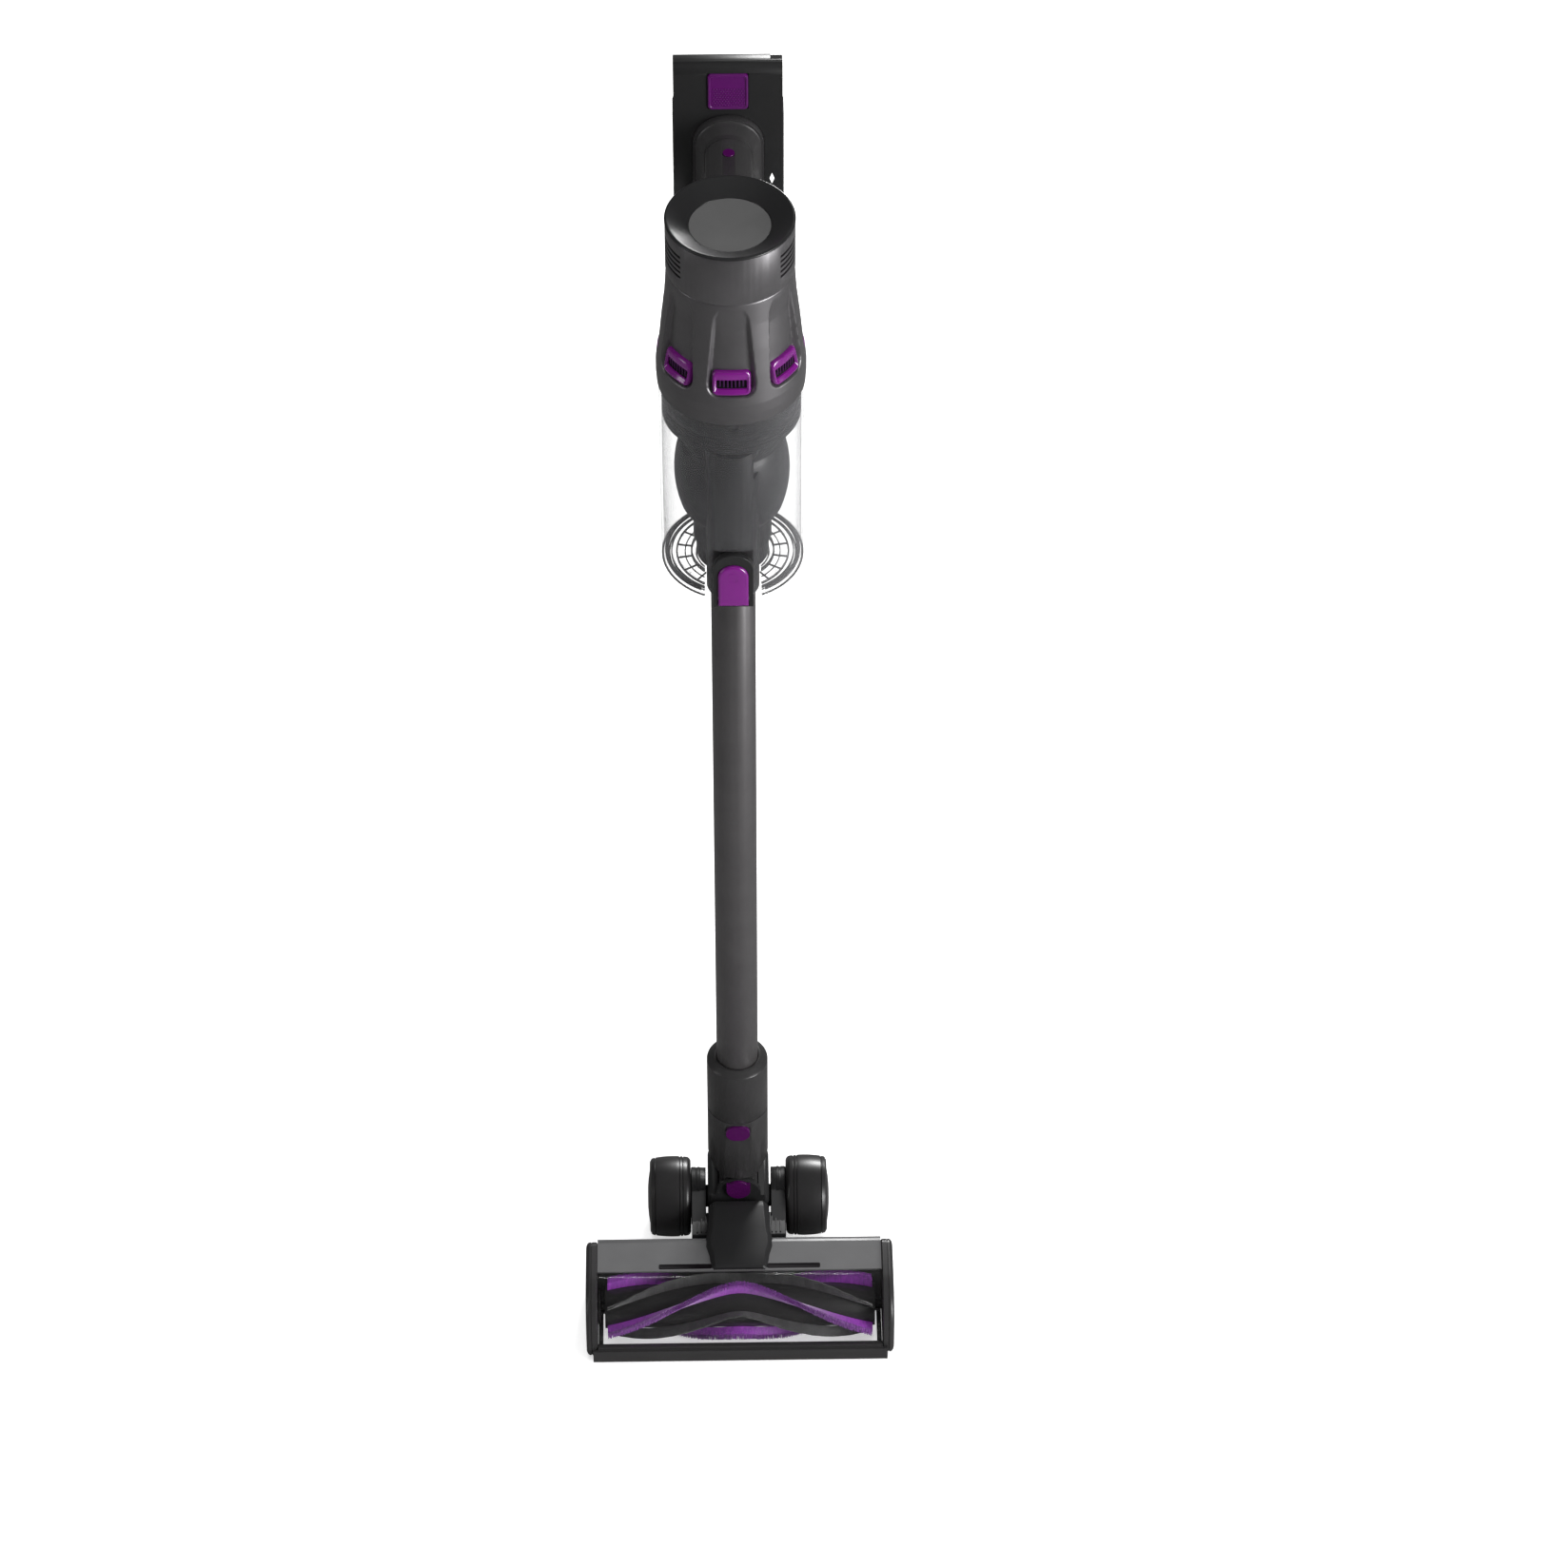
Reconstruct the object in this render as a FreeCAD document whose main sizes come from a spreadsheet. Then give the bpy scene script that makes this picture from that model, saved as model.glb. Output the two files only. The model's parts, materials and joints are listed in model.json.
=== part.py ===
import FreeCAD, Part
import Sketcher
import math
import os
from FreeCAD import Placement, Rotation, Vector

# A cordless stick vacuum, standing upright with its wand vertical and its floor head flat.
# Millimetres. +X is the user's right seen from the front, -Y is the front of the floor head,
# +Z is up and z = 0 is the floor. Inside this file every place is written from the wand's axis,
# and stance_shift then moves the whole object along Y so that its box is centred on the origin.

DIMENSIONS = {
    "stance_shift": -23.5,
    # motor unit and bin, which share one vertical axis behind the wand
    "unit_axis_y": 30, "bin_radius": 51.9, "bin_wall": 2, "lid_bottom": 716, "lid_thickness": 3,
    "seat_bottom": 862, "seam_height": 887, "seam_radius": 52.7, "belly_radius": 53.3,
    "band_bottom": 991, "band_radius": 45.4, "rim_height": 1031.4, "display_radius": 28.6,
    "display_height": 1026, "vent_width": 29, "vent_height": 19, "vent_bottom": 914,
    "vent_pitch_degrees": 51.4286, "louvre_pitch": 4.5, "louvre_bottom": 1002,
    "core_radius": 41.6, "core_foot_radius": 26.35, "duct_radius": 19.15, "duct_bottom": 714,
    "duct_top": 852, "button_half_width": 11, "frame_half_width": 14.5,
    # wand
    "wand_radius": 16.25, "wand_wall": 1.2, "wand_bottom": 150, "wand_top": 758,
    # handle and battery
    "grip_width": 34, "grip_tall": 46, "grip_height": 985, "foot_width": 51, "foot_tall": 88,
    "foot_height": 970, "battery_front": 165, "battery_back": 194, "battery_half_width": 38.8,
    "battery_bottom": 924, "battery_top": 1057, "latch_half_width": 14.3, "latch_bottom": 1020,
    "latch_top": 1051, "cell_radius": 9.1, "cell_length": 64.8, "cell_pitch": 18.4,
    "dot_reach": 130, "dot_radius": 4.1,
    # elbow and universal joint
    "elbow_radius": 24, "collar_bottom": 146.8, "collar_top": 203, "elbow_bottom": 81,
    "lean_height": 62, "lug_radius": 18, "tongue_radius": 15.5, "tongue_half_depth": 20,
    "yoke_half_width": 24.6, "yoke_half_depth": 25, "cheek_gap": 16.2, "axle_height": 32.5,
    "air_radius": 10,
    # wheels
    "wheel_inner": 38.4, "wheel_outer": 73, "wheel_radius": 32.5, "axle_radius": 4,
    "hub_radius": 24, "hub_inner": 26.2, "hub_outer": 37.6,
    # floor head
    "head_half_width": 122, "cap_inner": 113, "head_back": 62, "head_top": 58.5,
    "roof_front": 100.3, "brush_reach": 112.5, "brush_height": 30, "bristle_radius": 27.5,
    "core_tube_radius": 17, "window_inner": 28.7, "window_outer": 30.6, "bar_front": 147,
    "bar_top": 18.4, "sole_bottom": 1.8, "sole_top": 3.9, "neck_back": 30.2, "neck_top": 61,
    "brush_half_length": 105, "motor_reach": 73.5, "motor_height": 17, "pulley_radius": 6,
    "brush_pulley_radius": 12, "roller_radius": 6,
}

document = FreeCAD.newDocument("StickVacuum")
sheet = document.addObject("Spreadsheet::Sheet", "Dimensions")
for row, (alias, number) in enumerate(DIMENSIONS.items(), start=1):
    sheet.set(f"A{row}", alias.replace("_", " "))
    sheet.set(f"B{row}", str(number))
    sheet.setAlias(f"B{row}", alias)
document.recompute()


class Size:
    """A number that remembers the spreadsheet formula it comes from."""

    def __init__(self, number, formula):
        self.number = float(number)
        self.formula = formula

    def combine(self, other, sign, swapped=False):
        other = as_size(other)
        left, right = (other, self) if swapped else (self, other)
        results = {"+": left.number + right.number, "-": left.number - right.number,
                   "*": left.number * right.number}
        result = results[sign] if sign in results else left.number / right.number
        return Size(result, f"({left.formula} {sign} {right.formula})")

    def __add__(self, other):
        return self.combine(other, "+")

    def __radd__(self, other):
        return self.combine(other, "+", swapped=True)

    def __sub__(self, other):
        return self.combine(other, "-")

    def __rsub__(self, other):
        return self.combine(other, "-", swapped=True)

    def __mul__(self, other):
        return self.combine(other, "*")

    def __rmul__(self, other):
        return self.combine(other, "*", swapped=True)

    def __truediv__(self, other):
        return self.combine(other, "/")

    def __neg__(self):
        return self.combine(-1, "*")

    def __float__(self):
        return self.number


def as_size(value):
    return value if isinstance(value, Size) else Size(value, repr(float(value)))


def dim(alias):
    return Size(DIMENSIONS[alias], f"Dimensions.{alias}")


def bind(feature, **properties):
    """Set each property, and tie it to the spreadsheet when it comes from there."""
    for name, value in properties.items():
        size = as_size(value)
        setattr(feature, name, size.number)
        if "Dimensions" in size.formula:
            feature.setExpression(name, size.formula)


def place(feature, x=0, y=0, z=0, rotation=None):
    """Put a feature at a point given from the wand's axis."""
    centre = [as_size(x), dim("stance_shift") + y, as_size(z)]
    feature.Placement = Placement(Vector(*[float(c) for c in centre]), rotation or Rotation())
    for axis, size in zip("xyz", centre):
        if "Dimensions" in size.formula:
            feature.setExpression(f"Placement.Base.{axis}", size.formula)


# ---------------------------------------------------------------- building blocks

TURN_TO = {"X": Rotation(Vector(0, 1, 0), 90), "Y": Rotation(Vector(1, 0, 0), -90), "Z": Rotation()}
CLEARANCE = 0.3      # between pieces that move past each other
FIT = 0.05           # between pieces seated in each other


def box(name, xs, ys, zs):
    feature = document.addObject("Part::Box", name)
    bind(feature, Length=xs[1] - xs[0], Width=ys[1] - ys[0], Height=zs[1] - zs[0])
    place(feature, xs[0], ys[0], zs[0])
    return feature


def rod(name, axis, radius, span, centre):
    """A cylinder along one axis, from span[0] to span[1]; centre gives the other two places."""
    feature = document.addObject("Part::Cylinder", name)
    bind(feature, Radius=radius, Height=span[1] - span[0])
    corner = list(centre)
    corner.insert("XYZ".index(axis), span[0])
    place(feature, *corner, rotation=TURN_TO[axis])
    return feature


def tube(name, axis, radii, span, centre):
    outer = rod(name + "_outer", axis, radii[1], span, centre)
    inner = rod(name + "_inner", axis, radii[0], (span[0] - 1, span[1] + 1), centre)
    return cut(name, outer, inner)


def fuse(name, *shapes):
    feature = document.addObject("Part::MultiFuse", name)
    feature.Shapes = list(shapes)
    return feature


def cut(name, base, *tools):
    feature = document.addObject("Part::Cut", name)
    feature.Base = base
    feature.Tool = tools[0] if len(tools) == 1 else fuse(name + "_tools", *tools)
    return feature


def common(name, first, second):
    feature = document.addObject("Part::Common", name)
    feature.Base = first
    feature.Tool = second
    return feature


def group(name, *solids):
    feature = document.addObject("Part::Compound", name)
    feature.Links = list(solids)
    return feature


def outline(body, name, plane, points):
    """A closed sketch of straight lines whose corners are tied to the spreadsheet."""
    sketch = body.newObject("Sketcher::SketchObject", name)
    origin_plane = next(f for f in body.Origin.OriginFeatures if f.Role == plane)
    sketch.AttachmentSupport = (origin_plane, [""])
    sketch.MapMode = "FlatFace"
    corners = [(as_size(a), as_size(b)) for a, b in points]
    places = [Vector(float(a), float(b), 0) for a, b in corners]
    for start, end in zip(places, places[1:] + places[:1]):
        sketch.addGeometry(Part.LineSegment(start, end))
    count = len(corners)
    for index in range(count):
        sketch.addConstraint(Sketcher.Constraint("Coincident", index, 2, (index + 1) % count, 1))
    for index, corner in enumerate(corners):
        for kind, size in zip(("DistanceX", "DistanceY"), corner):
            number = sketch.addConstraint(
                Sketcher.Constraint(kind, -1, 1, index, 1, float(size)))
            if "Dimensions" in size.formula:
                sketch.setExpression(f"Constraints[{number}]", size.formula)
    return sketch


def turned(name, axis, points, centre):
    """A body of revolution. Points are (radius, height) about Z or (x, radius) about X."""
    body = document.addObject("PartDesign::Body", name)
    sketch = outline(body, name + "_profile", "XZ_Plane", points)
    spin = body.newObject("PartDesign::Revolution", name + "_turn")
    spin.Profile = sketch
    spin.ReferenceAxis = (sketch, ["V_Axis" if axis == "Z" else "H_Axis"])
    spin.Angle = 360
    if axis == "Z":
        place(body, centre[0], centre[1], 0)
    else:
        place(body, 0, centre[0], centre[1])
    return body


def slab(name, plane, points, span):
    """An outline in one plane, made solid across that plane from span[0] to span[1]."""
    body = document.addObject("PartDesign::Body", name)
    sketch = outline(body, name + "_outline", plane + "_Plane", points)
    pad = body.newObject("PartDesign::Pad", name + "_pad")
    pad.Profile = sketch
    pad.Midplane = True
    bind(pad, Length=span[1] - span[0])
    middle = (span[0] + span[1]) / 2
    across = {"YZ": (middle, 0, 0), "XZ": (0, middle, 0), "XY": (0, 0, middle)}
    place(body, *across[plane])
    return body


def rounded(name, base, radius, chosen):
    """Round those edges of a feature that the chosen test picks out."""
    document.recompute()
    feature = document.addObject("Part::Fillet", name)
    feature.Base = base
    edges = [(number, radius, radius) for number, edge in enumerate(base.Shape.Edges, start=1)
             if chosen(edge)]
    feature.Edges = edges
    document.recompute()
    return feature


def runs_along(edge, axis):
    """True for a straight edge along X, Y or Z."""
    if not isinstance(edge.Curve, Part.Line):
        return False
    return abs(edge.Curve.Direction["XYZ".index(axis)]) > 0.99


def at_place(edge, **limits):
    """True where the middle of an edge lies between the given limits, in the wand's frame."""
    middle = edge.CenterOfMass - Vector(0, DIMENSIONS["stance_shift"], 0)
    found = {"x": middle.x, "y": middle.y, "z": middle.z}
    return all(low <= found[axis] <= high for axis, (low, high) in limits.items())


def oval(name, width, tall, centre, y):
    """An upright oval of two straight sides and two half rounds, in a plane across Y."""
    sketch = document.addObject("Sketcher::SketchObject", name)
    radius = width / 2
    half_side = tall / 2 - radius
    r, side = float(radius), float(half_side)
    sketch.addGeometry(Part.LineSegment(Vector(r, -side, 0), Vector(r, side, 0)))
    arc = Part.Circle(Vector(0, side, 0), Vector(0, 0, 1), r)
    sketch.addGeometry(Part.ArcOfCircle(arc, 0, math.pi))
    sketch.addGeometry(Part.LineSegment(Vector(-r, side, 0), Vector(-r, -side, 0)))
    arc = Part.Circle(Vector(0, -side, 0), Vector(0, 0, 1), r)
    sketch.addGeometry(Part.ArcOfCircle(arc, math.pi, 2 * math.pi))
    for index in range(4):
        sketch.addConstraint(Sketcher.Constraint("Tangent", index, 2, (index + 1) % 4, 1))
    number = sketch.addConstraint(Sketcher.Constraint("Radius", 1, r))
    sketch.setExpression(f"Constraints[{number}]", radius.formula)
    for index, kind, size in ((0, "DistanceY", -half_side), (0, "DistanceX", radius)):
        number = sketch.addConstraint(Sketcher.Constraint(kind, -1, 1, index, 1, float(size)))
        sketch.setExpression(f"Constraints[{number}]", size.formula)
    number = sketch.addConstraint(Sketcher.Constraint("DistanceY", 0, 1, 0, 2, 2 * side))
    sketch.setExpression(f"Constraints[{number}]", (half_side * 2).formula)
    place(sketch, 0, y, centre, rotation=Rotation(Vector(1, 0, 0), 90))
    return sketch


def loft(name, *sections):
    feature = document.addObject("Part::Loft", name)
    feature.Sections = list(sections)
    feature.Solid = True
    feature.Ruled = True
    return feature


def oval_bar(name, width, tall, centre, ys):
    """A bar of oval section along Y."""
    return loft(name, oval(name + "_front", width, tall, centre, ys[0]),
                oval(name + "_back", width, tall, centre, ys[1]))


PIECES = {}


def piece(label, feature):
    """Register a finished sub-part under the name it is written out with."""
    feature.Label = label
    PIECES[label] = feature
    return feature


UNIT_Y = dim("unit_axis_y")
UNIT = (0, UNIT_Y)


def around_unit(feature, degrees):
    """Turn a feature that was placed in front of the unit's axis to another azimuth."""
    axis_point = Vector(0, float(UNIT_Y + dim("stance_shift")), 0)
    spin = Placement(Vector(), Rotation(Vector(0, 0, 1), degrees), axis_point)
    turned_copy = document.addObject("Part::Compound", feature.Name + "_turned")
    turned_copy.Links = [feature]
    turned_copy.Placement = spin
    return turned_copy


# ---------------------------------------------------------------- motor unit

def unit_outline(extra):
    """The outer line of the motor housing and the exhaust band, from the bottom up."""
    return [(dim("seam_radius") + extra, dim("seam_height")),
            (dim("belly_radius") + extra, dim("seam_height") + 10),
            (dim("belly_radius") + extra, dim("seam_height") + 18),
            (dim("belly_radius") + extra - 2.2, dim("seam_height") + 43),
            (dim("belly_radius") + extra - 4.4, dim("seam_height") + 64),
            (dim("belly_radius") + extra - 6.9, dim("seam_height") + 85),
            (dim("band_radius") + extra - 0.5, dim("band_bottom"))]


VENT_STEPS = (-2, -1, 0, 1, 2)


def scallop(index):
    """The cutter of one long shallow recess, deepest at its foot."""
    top, bottom = dim("band_bottom") - 5, dim("vent_bottom") - 2
    cutter = slab(f"scallop{index}", "XZ",
                  [(-19.5, 0), (19.5, 0), (18.5, 30), (13, 70), (9, top - bottom),
                   (-9, top - bottom), (-13, 70), (-18.5, 30)], (-12, 12))
    depth_at_foot = UNIT_Y - dim("belly_radius") + 4.6
    lean = Rotation(Vector(1, 0, 0), -2.2)
    place(cutter, 0, depth_at_foot - 12, bottom, rotation=lean)
    return around_unit(cutter, float(dim("vent_pitch_degrees")) * VENT_STEPS[index])


def vent_window(index, extra):
    half = dim("vent_width") / 2 + extra
    window = box(f"vent_window{index}_{round(extra * 100)}", (-half, half),
                 (UNIT_Y - 60, UNIT_Y - 40),
                 (dim("vent_bottom") - extra, dim("vent_bottom") + dim("vent_height") + extra))
    return around_unit(window, float(dim("vent_pitch_degrees")) * VENT_STEPS[index])


def motor_housing():
    inner = [(41.8, dim("band_bottom")), (41.8, 960), (44.3, 950), (44.3, 902),
             (49, 892), (49, dim("seam_height"))]
    shell = turned("housing_shell", "Z", unit_outline(0) + inner, UNIT)
    tools = [scallop(index) for index in range(len(VENT_STEPS))]
    tools += [vent_window(index, FIT) for index in range(len(VENT_STEPS))]
    dock_slot = box("dock_slot", (-11, 11), (UNIT_Y + 48, UNIT_Y + 60), (912, 926))
    piece("motor_housing", cut("housing", shell, dock_slot, *tools))


def vent_grilles():
    """Five slotted grilles, one at the foot of each recess, with upright teeth."""
    grilles = []
    half = dim("vent_width") / 2
    low = dim("vent_bottom")
    for index, step in enumerate(VENT_STEPS):
        front, back = UNIT_Y - 51, UNIT_Y - 46.2
        frame = box(f"grille_frame{index}", (-half, half), (front, back),
                    (low, low + dim("vent_height")))
        slot = box(f"grille_slot{index}", (-10.5, 10.5), (front - 1, back + 1),
                   (low + 4, low + 11.5))
        teeth = [box(f"grille_tooth{index}_{tooth}", (tooth * 3 - 0.7, tooth * 3 + 0.7),
                     (front + 1.2, back), (low + 3.5, low + 12)) for tooth in range(-3, 4)]
        grille = fuse(f"grille{index}", cut(f"grille_ring{index}", frame, slot), *teeth)
        grilles.append(around_unit(grille, float(dim("vent_pitch_degrees")) * step))
    piece("vent_grilles", group("all_grilles", *grilles))


def exhaust_band():
    band = tube("band_ring", "Z", (dim("band_radius") - 3, dim("band_radius")),
                (dim("band_bottom") + 0.2, dim("rim_height")), UNIT)
    louvres = []
    for level in range(5):
        low = dim("louvre_bottom") + dim("louvre_pitch") * level
        for side in (-1, 1):
            slot = box(f"louvre{level}_{side + 1}", (-12.5, 12.5),
                       (UNIT_Y - 50, UNIT_Y - 38), (low, low + 2.2))
            louvres.append(around_unit(slot, 66 * side))
    piece("exhaust_band", cut("band", band, *louvres))


def bezel_and_display():
    rim, face = dim("rim_height"), dim("display_height")
    profile = [(dim("band_radius") + 0.3, rim + 0.2), (dim("band_radius") + 0.3, rim + 1.4),
               (dim("band_radius") - 0.8, rim + 2.4), (dim("band_radius") - 2, rim + 2.2),
               (dim("display_radius") + 0.2, face + 0.3), (dim("display_radius") + 0.2, face - 3),
               (dim("band_radius") - 3.2, rim - 2.8), (dim("band_radius") - 3.2, rim + 0.2)]
    piece("top_bezel", turned("bezel", "Z", profile, UNIT))
    piece("display_lens", rod("lens", "Z", dim("display_radius"), (face - 3, face), UNIT))
    piece("control_board", rod("board", "Z", 38, (1008, 1009.6), UNIT))


def filter_motor_and_fan():
    pleats = [rod(f"pleat{index}", "Z", 1.4, (899, 969),
                  (37 * math.sin(index * math.radians(12)),
                   UNIT_Y + 37 * math.cos(index * math.radians(12)))) for index in range(30)]
    sleeve = tube("filter_sleeve", "Z", (27, 37), (898, 970), UNIT)
    piece("filter_cartridge", fuse("filter", sleeve, *pleats))
    shaft_bore = rod("shaft_bore", "Z", 2.05, (920, 950), UNIT)
    can = fuse("motor_union", rod("motor_can", "Z", 22, (926, 976), UNIT),
               tube("motor_flange", "Z", (14, 41.5), (972, 976), UNIT))
    piece("suction_motor", cut("motor", can, shaft_bore))
    disc = rod("fan_disc", "Z", 21, (908, 910), UNIT)
    shaft = rod("fan_shaft", "Z", 2, (908, 948), UNIT)
    hub = rod("fan_hub", "Z", 6, (908, 922), UNIT)
    blades = []
    for index in range(9):
        blade = box(f"blade{index}", (-0.6, 0.6), (UNIT_Y - 20.5, UNIT_Y - 5), (909, 920))
        blades.append(around_unit(blade, index * 40))
    piece("fan", fuse("impeller", disc, hub, shaft, *blades))


# ---------------------------------------------------------------- bin

def seat_ring():
    bottom, top = dim("seat_bottom"), dim("seam_height") - 0.3
    inside = dim("bin_radius") - dim("bin_wall") - 0.3
    profile = [(34.6, bottom), (inside - 2.4, bottom), (inside - 2.4, bottom + 4),
               (inside - 1.2, bottom + 4), (inside - 1.2, bottom + 9), (inside, bottom + 9),
               (inside, top), (34.6, top)]
    ring = turned("seat", "Z", profile, UNIT)
    slot = box("seat_slot", (-4, 4), (UNIT_Y - 60, UNIT_Y - inside + 1.6),
               (dim("seam_height") - 7.5, dim("seam_height") - 6))
    piece("bin_seat_ring", cut("seat_cut", ring, slot))


def cyclone_core():
    top = dim("seat_bottom") - 0.2
    wide, foot = dim("core_radius"), dim("core_foot_radius")
    low = dim("lid_bottom") + dim("lid_thickness") + 0.6
    outside = [(foot, low), (foot, 735), (29, 738), (30.5, 764), (33, 766), (38.6, 781),
               (wide, 798), (40.2, 815), (35.8, 832), (35.8, top)]
    inside = [(33.4, top), (33.4, 834), (37.8, 816), (wide - 2.4, 798), (36.4, 783),
              (30.4, 769), (28, 762), (26.5, 740), (foot - 2.4, 735), (foot - 2.4, low)]
    shell = turned("core_shell", "Z", outside + inside, UNIT)
    bore = rod("core_duct_cut", "Z", dim("duct_radius") + FIT, (700, dim("duct_top") + 0.3), (0, 0))
    piece("cyclone_core", cut("core", shell, bore))


def inlet_duct():
    radius, low, top = dim("duct_radius"), dim("duct_bottom"), dim("duct_top")
    outer = rod("duct_outer", "Z", radius, (low, top), (0, 0))
    socket = rod("duct_socket", "Z", dim("wand_radius") + CLEARANCE + 0.05,
                 (low - 1, dim("wand_top") + 1), (0, 0))
    bore = rod("duct_bore", "Z", 14.6, (low, top - 2), (0, 0))
    outlet = box("duct_outlet", (0, 30), (-12, 12), (826, 846))
    piece("inlet_duct", cut("duct", outer, socket, bore, outlet))


def bin_shell():
    radius, floor = dim("bin_radius"), dim("lid_bottom") + dim("lid_thickness")
    wall = tube("bin_wall_ring", "Z", (radius - dim("bin_wall"), radius),
                (floor + 0.3, dim("seam_height") - 0.2), UNIT)
    notch = box("bin_notch", (-dim("frame_half_width") - FIT, dim("frame_half_width") + FIT),
                (-60, 0), (700, 765))
    ears = [box(f"bin_ear{side + 1}", (min(side * 6.4, side * 12), max(side * 6.4, side * 12)),
                (UNIT_Y + radius - 1.6, HINGE_Y + 3.6), (floor - 5, floor + 8))
            for side in (-1, 1)]
    hollow = rod("ear_trim", "Z", radius - 1, (floor + 0.2, 800), UNIT)
    trimmed = cut("bin_ears", fuse("bin_ear_pair", *ears), hollow)
    below = rod("ear_trim_low", "Z", radius + 0.5, (700, floor + 0.3), UNIT)
    pin_hole = rod("ear_pin_hole", "X", 1.5 + FIT / 2, (-20, 20), (HINGE_Y, HINGE_Z))
    walls = cut("bin_wall_cut", wall, notch)
    ears_cut = cut("bin_ears_cut", trimmed, below, pin_hole)
    piece("bin_shell", fuse("bin", walls, ears_cut))
    piece("lid_hinge_pin", rod("hinge_pin", "X", 1.5, (-12.5, 12.5), (HINGE_Y, HINGE_Z)))


HINGE_Y = UNIT_Y + dim("bin_radius") + 5
HINGE_Z = dim("lid_bottom") + 1.8


def bin_lid():
    radius, low = dim("bin_radius"), dim("lid_bottom")
    top = low + dim("lid_thickness")
    profile = [(0, low), (radius - 2, low), (radius, low + 1.4), (radius, top), (43.4, top),
               (43.4, top + 4.5), (41.4, top + 4.5), (41.4, top), (29.4, top), (29.4, top + 3),
               (27.8, top + 3), (27.8, top - 1), (0, top - 1)]
    disc = turned("lid_disc", "Z", profile, UNIT)
    ribs = []
    for degrees in (50, 80, 110, 140, 220, 250, 280, 310):
        rib = box(f"lid_rib{degrees}", (-0.6, 0.6), (UNIT_Y - 42, UNIT_Y - 29), (low + 1, top + 3))
        ribs.append(around_unit(rib, degrees))
    knuckle = rod("lid_knuckle", "X", 3.2, (-6, 6), (HINGE_Y, HINGE_Z))
    bridge = box("lid_bridge", (-6, 6), (UNIT_Y + radius - 2, HINGE_Y), (low + 0.2, top - 0.4))
    body = fuse("lid_body", disc, knuckle, bridge, *ribs)
    half_notch = dim("duct_radius") + 0.8
    notch = box("lid_notch", (-half_notch, half_notch), (-60, half_notch), (700, 740))
    pin_hole = rod("lid_pin_hole", "X", 1.55, (-20, 20), (HINGE_Y, HINGE_Z))
    reliefs = [box(f"lid_relief{side + 1}", span_on(side, 6, 13), (UNIT_Y + radius - 4, HINGE_Y),
                   (low - 1, top + 1)) for side in (-1, 1)]
    piece("bin_lid", cut("lid", body, notch, pin_hole, *reliefs))
    seal = tube("seal_ring", "Z", (46.4, 49.2), (top + 0.05, top + 2.4), UNIT)
    gap = box("seal_gap", (-23, 23), (-60, 0), (700, 740))
    piece("lid_seal", cut("seal", seal, gap))


def latch_frame_and_button():
    half, press = dim("frame_half_width"), dim("button_half_width")
    low = dim("duct_bottom")
    front, back = -25.2, -19.6
    block = box("frame_block", (-half, half), (front, back), (low, 764))
    arch = rod("frame_arch", "Y", half, (front, back), (0, 764 - half))
    upright = box("frame_upright", (-half, half), (front, back), (low, 764 - half))
    shape = common("frame_shape", block, fuse("frame_union", arch, upright))
    pocket = fuse("frame_pocket",
                  rod("pocket_arch", "Y", press + CLEARANCE, (front - 3, back + 3), (0, 743.5)),
                  box("pocket_way", (-press - CLEARANCE, press + CLEARANCE),
                      (front - 3, back + 3), (low + 1.4, 743.5)))
    duct_gap = rod("frame_duct_gap", "Z", dim("duct_radius") + FIT, (700, 800), (0, 0))
    piece("latch_frame", cut("frame", shape, pocket, duct_gap))
    cap = rod("button_arch", "Y", press, (-27.2, -22.6), (0, 743.5))
    plate = box("button_plate", (-press, press), (-27.2, -22.6), (low + 1.7, 743.5))
    piece("wand_release_button", fuse("release_button", cap, plate))


# ---------------------------------------------------------------- handle and battery

def handle_grip():
    grip = oval_bar("grip", dim("grip_width"), dim("grip_tall"), dim("grip_height"), (60, 148))
    flare = loft("flare", oval("flare_front", dim("grip_width"), dim("grip_tall"),
                               dim("grip_height"), 148),
                 oval("flare_back", dim("foot_width") - 4, dim("foot_tall") - 4,
                      dim("foot_height"), 160))
    foot = oval_bar("foot", dim("foot_width"), dim("foot_tall"), dim("foot_height"),
                    (160, dim("battery_front") + 6))
    envelope = unit_outline(FIT) + [(dim("band_radius") + FIT, dim("band_bottom")),
                                    (dim("band_radius") + FIT, 1060), (0, 1060),
                                    (0, dim("seam_height"))]
    unit_space = turned("unit_space", "Z", envelope, UNIT)
    dot_pocket = rod("dot_pocket", "Z", dim("dot_radius") + CLEARANCE, (1001, 1020),
                     (0, dim("dot_reach")))
    trigger_pocket = box("trigger_pocket", (-8.5, 8.5), (87.7, 114.3), (940, 972))
    spring_pocket = rod("spring_pocket", "Z", 4.2, (970, 982), (0, 101))
    whole = fuse("handle_union", grip, flare, foot)
    piece("handle_grip", cut("handle", whole, unit_space, dot_pocket, trigger_pocket, spring_pocket))


def handle_controls():
    dot = rod("dot", "Z", dim("dot_radius"), (1003.5, 1008.6), (0, dim("dot_reach")))
    piece("power_button", dot)
    blade = slab("trigger_blade", "YZ",
                 [(88, 966), (88, 952), (94, 949.5), (104, 950.5), (111, 955), (114, 958), (114, 966)],
                 (-8, 8))
    piece("trigger", blade)
    piece("trigger_spring", tube("spring_tube", "Z", (2.6, 3.8), (966.3, 981.8), (0, 101)))


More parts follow.
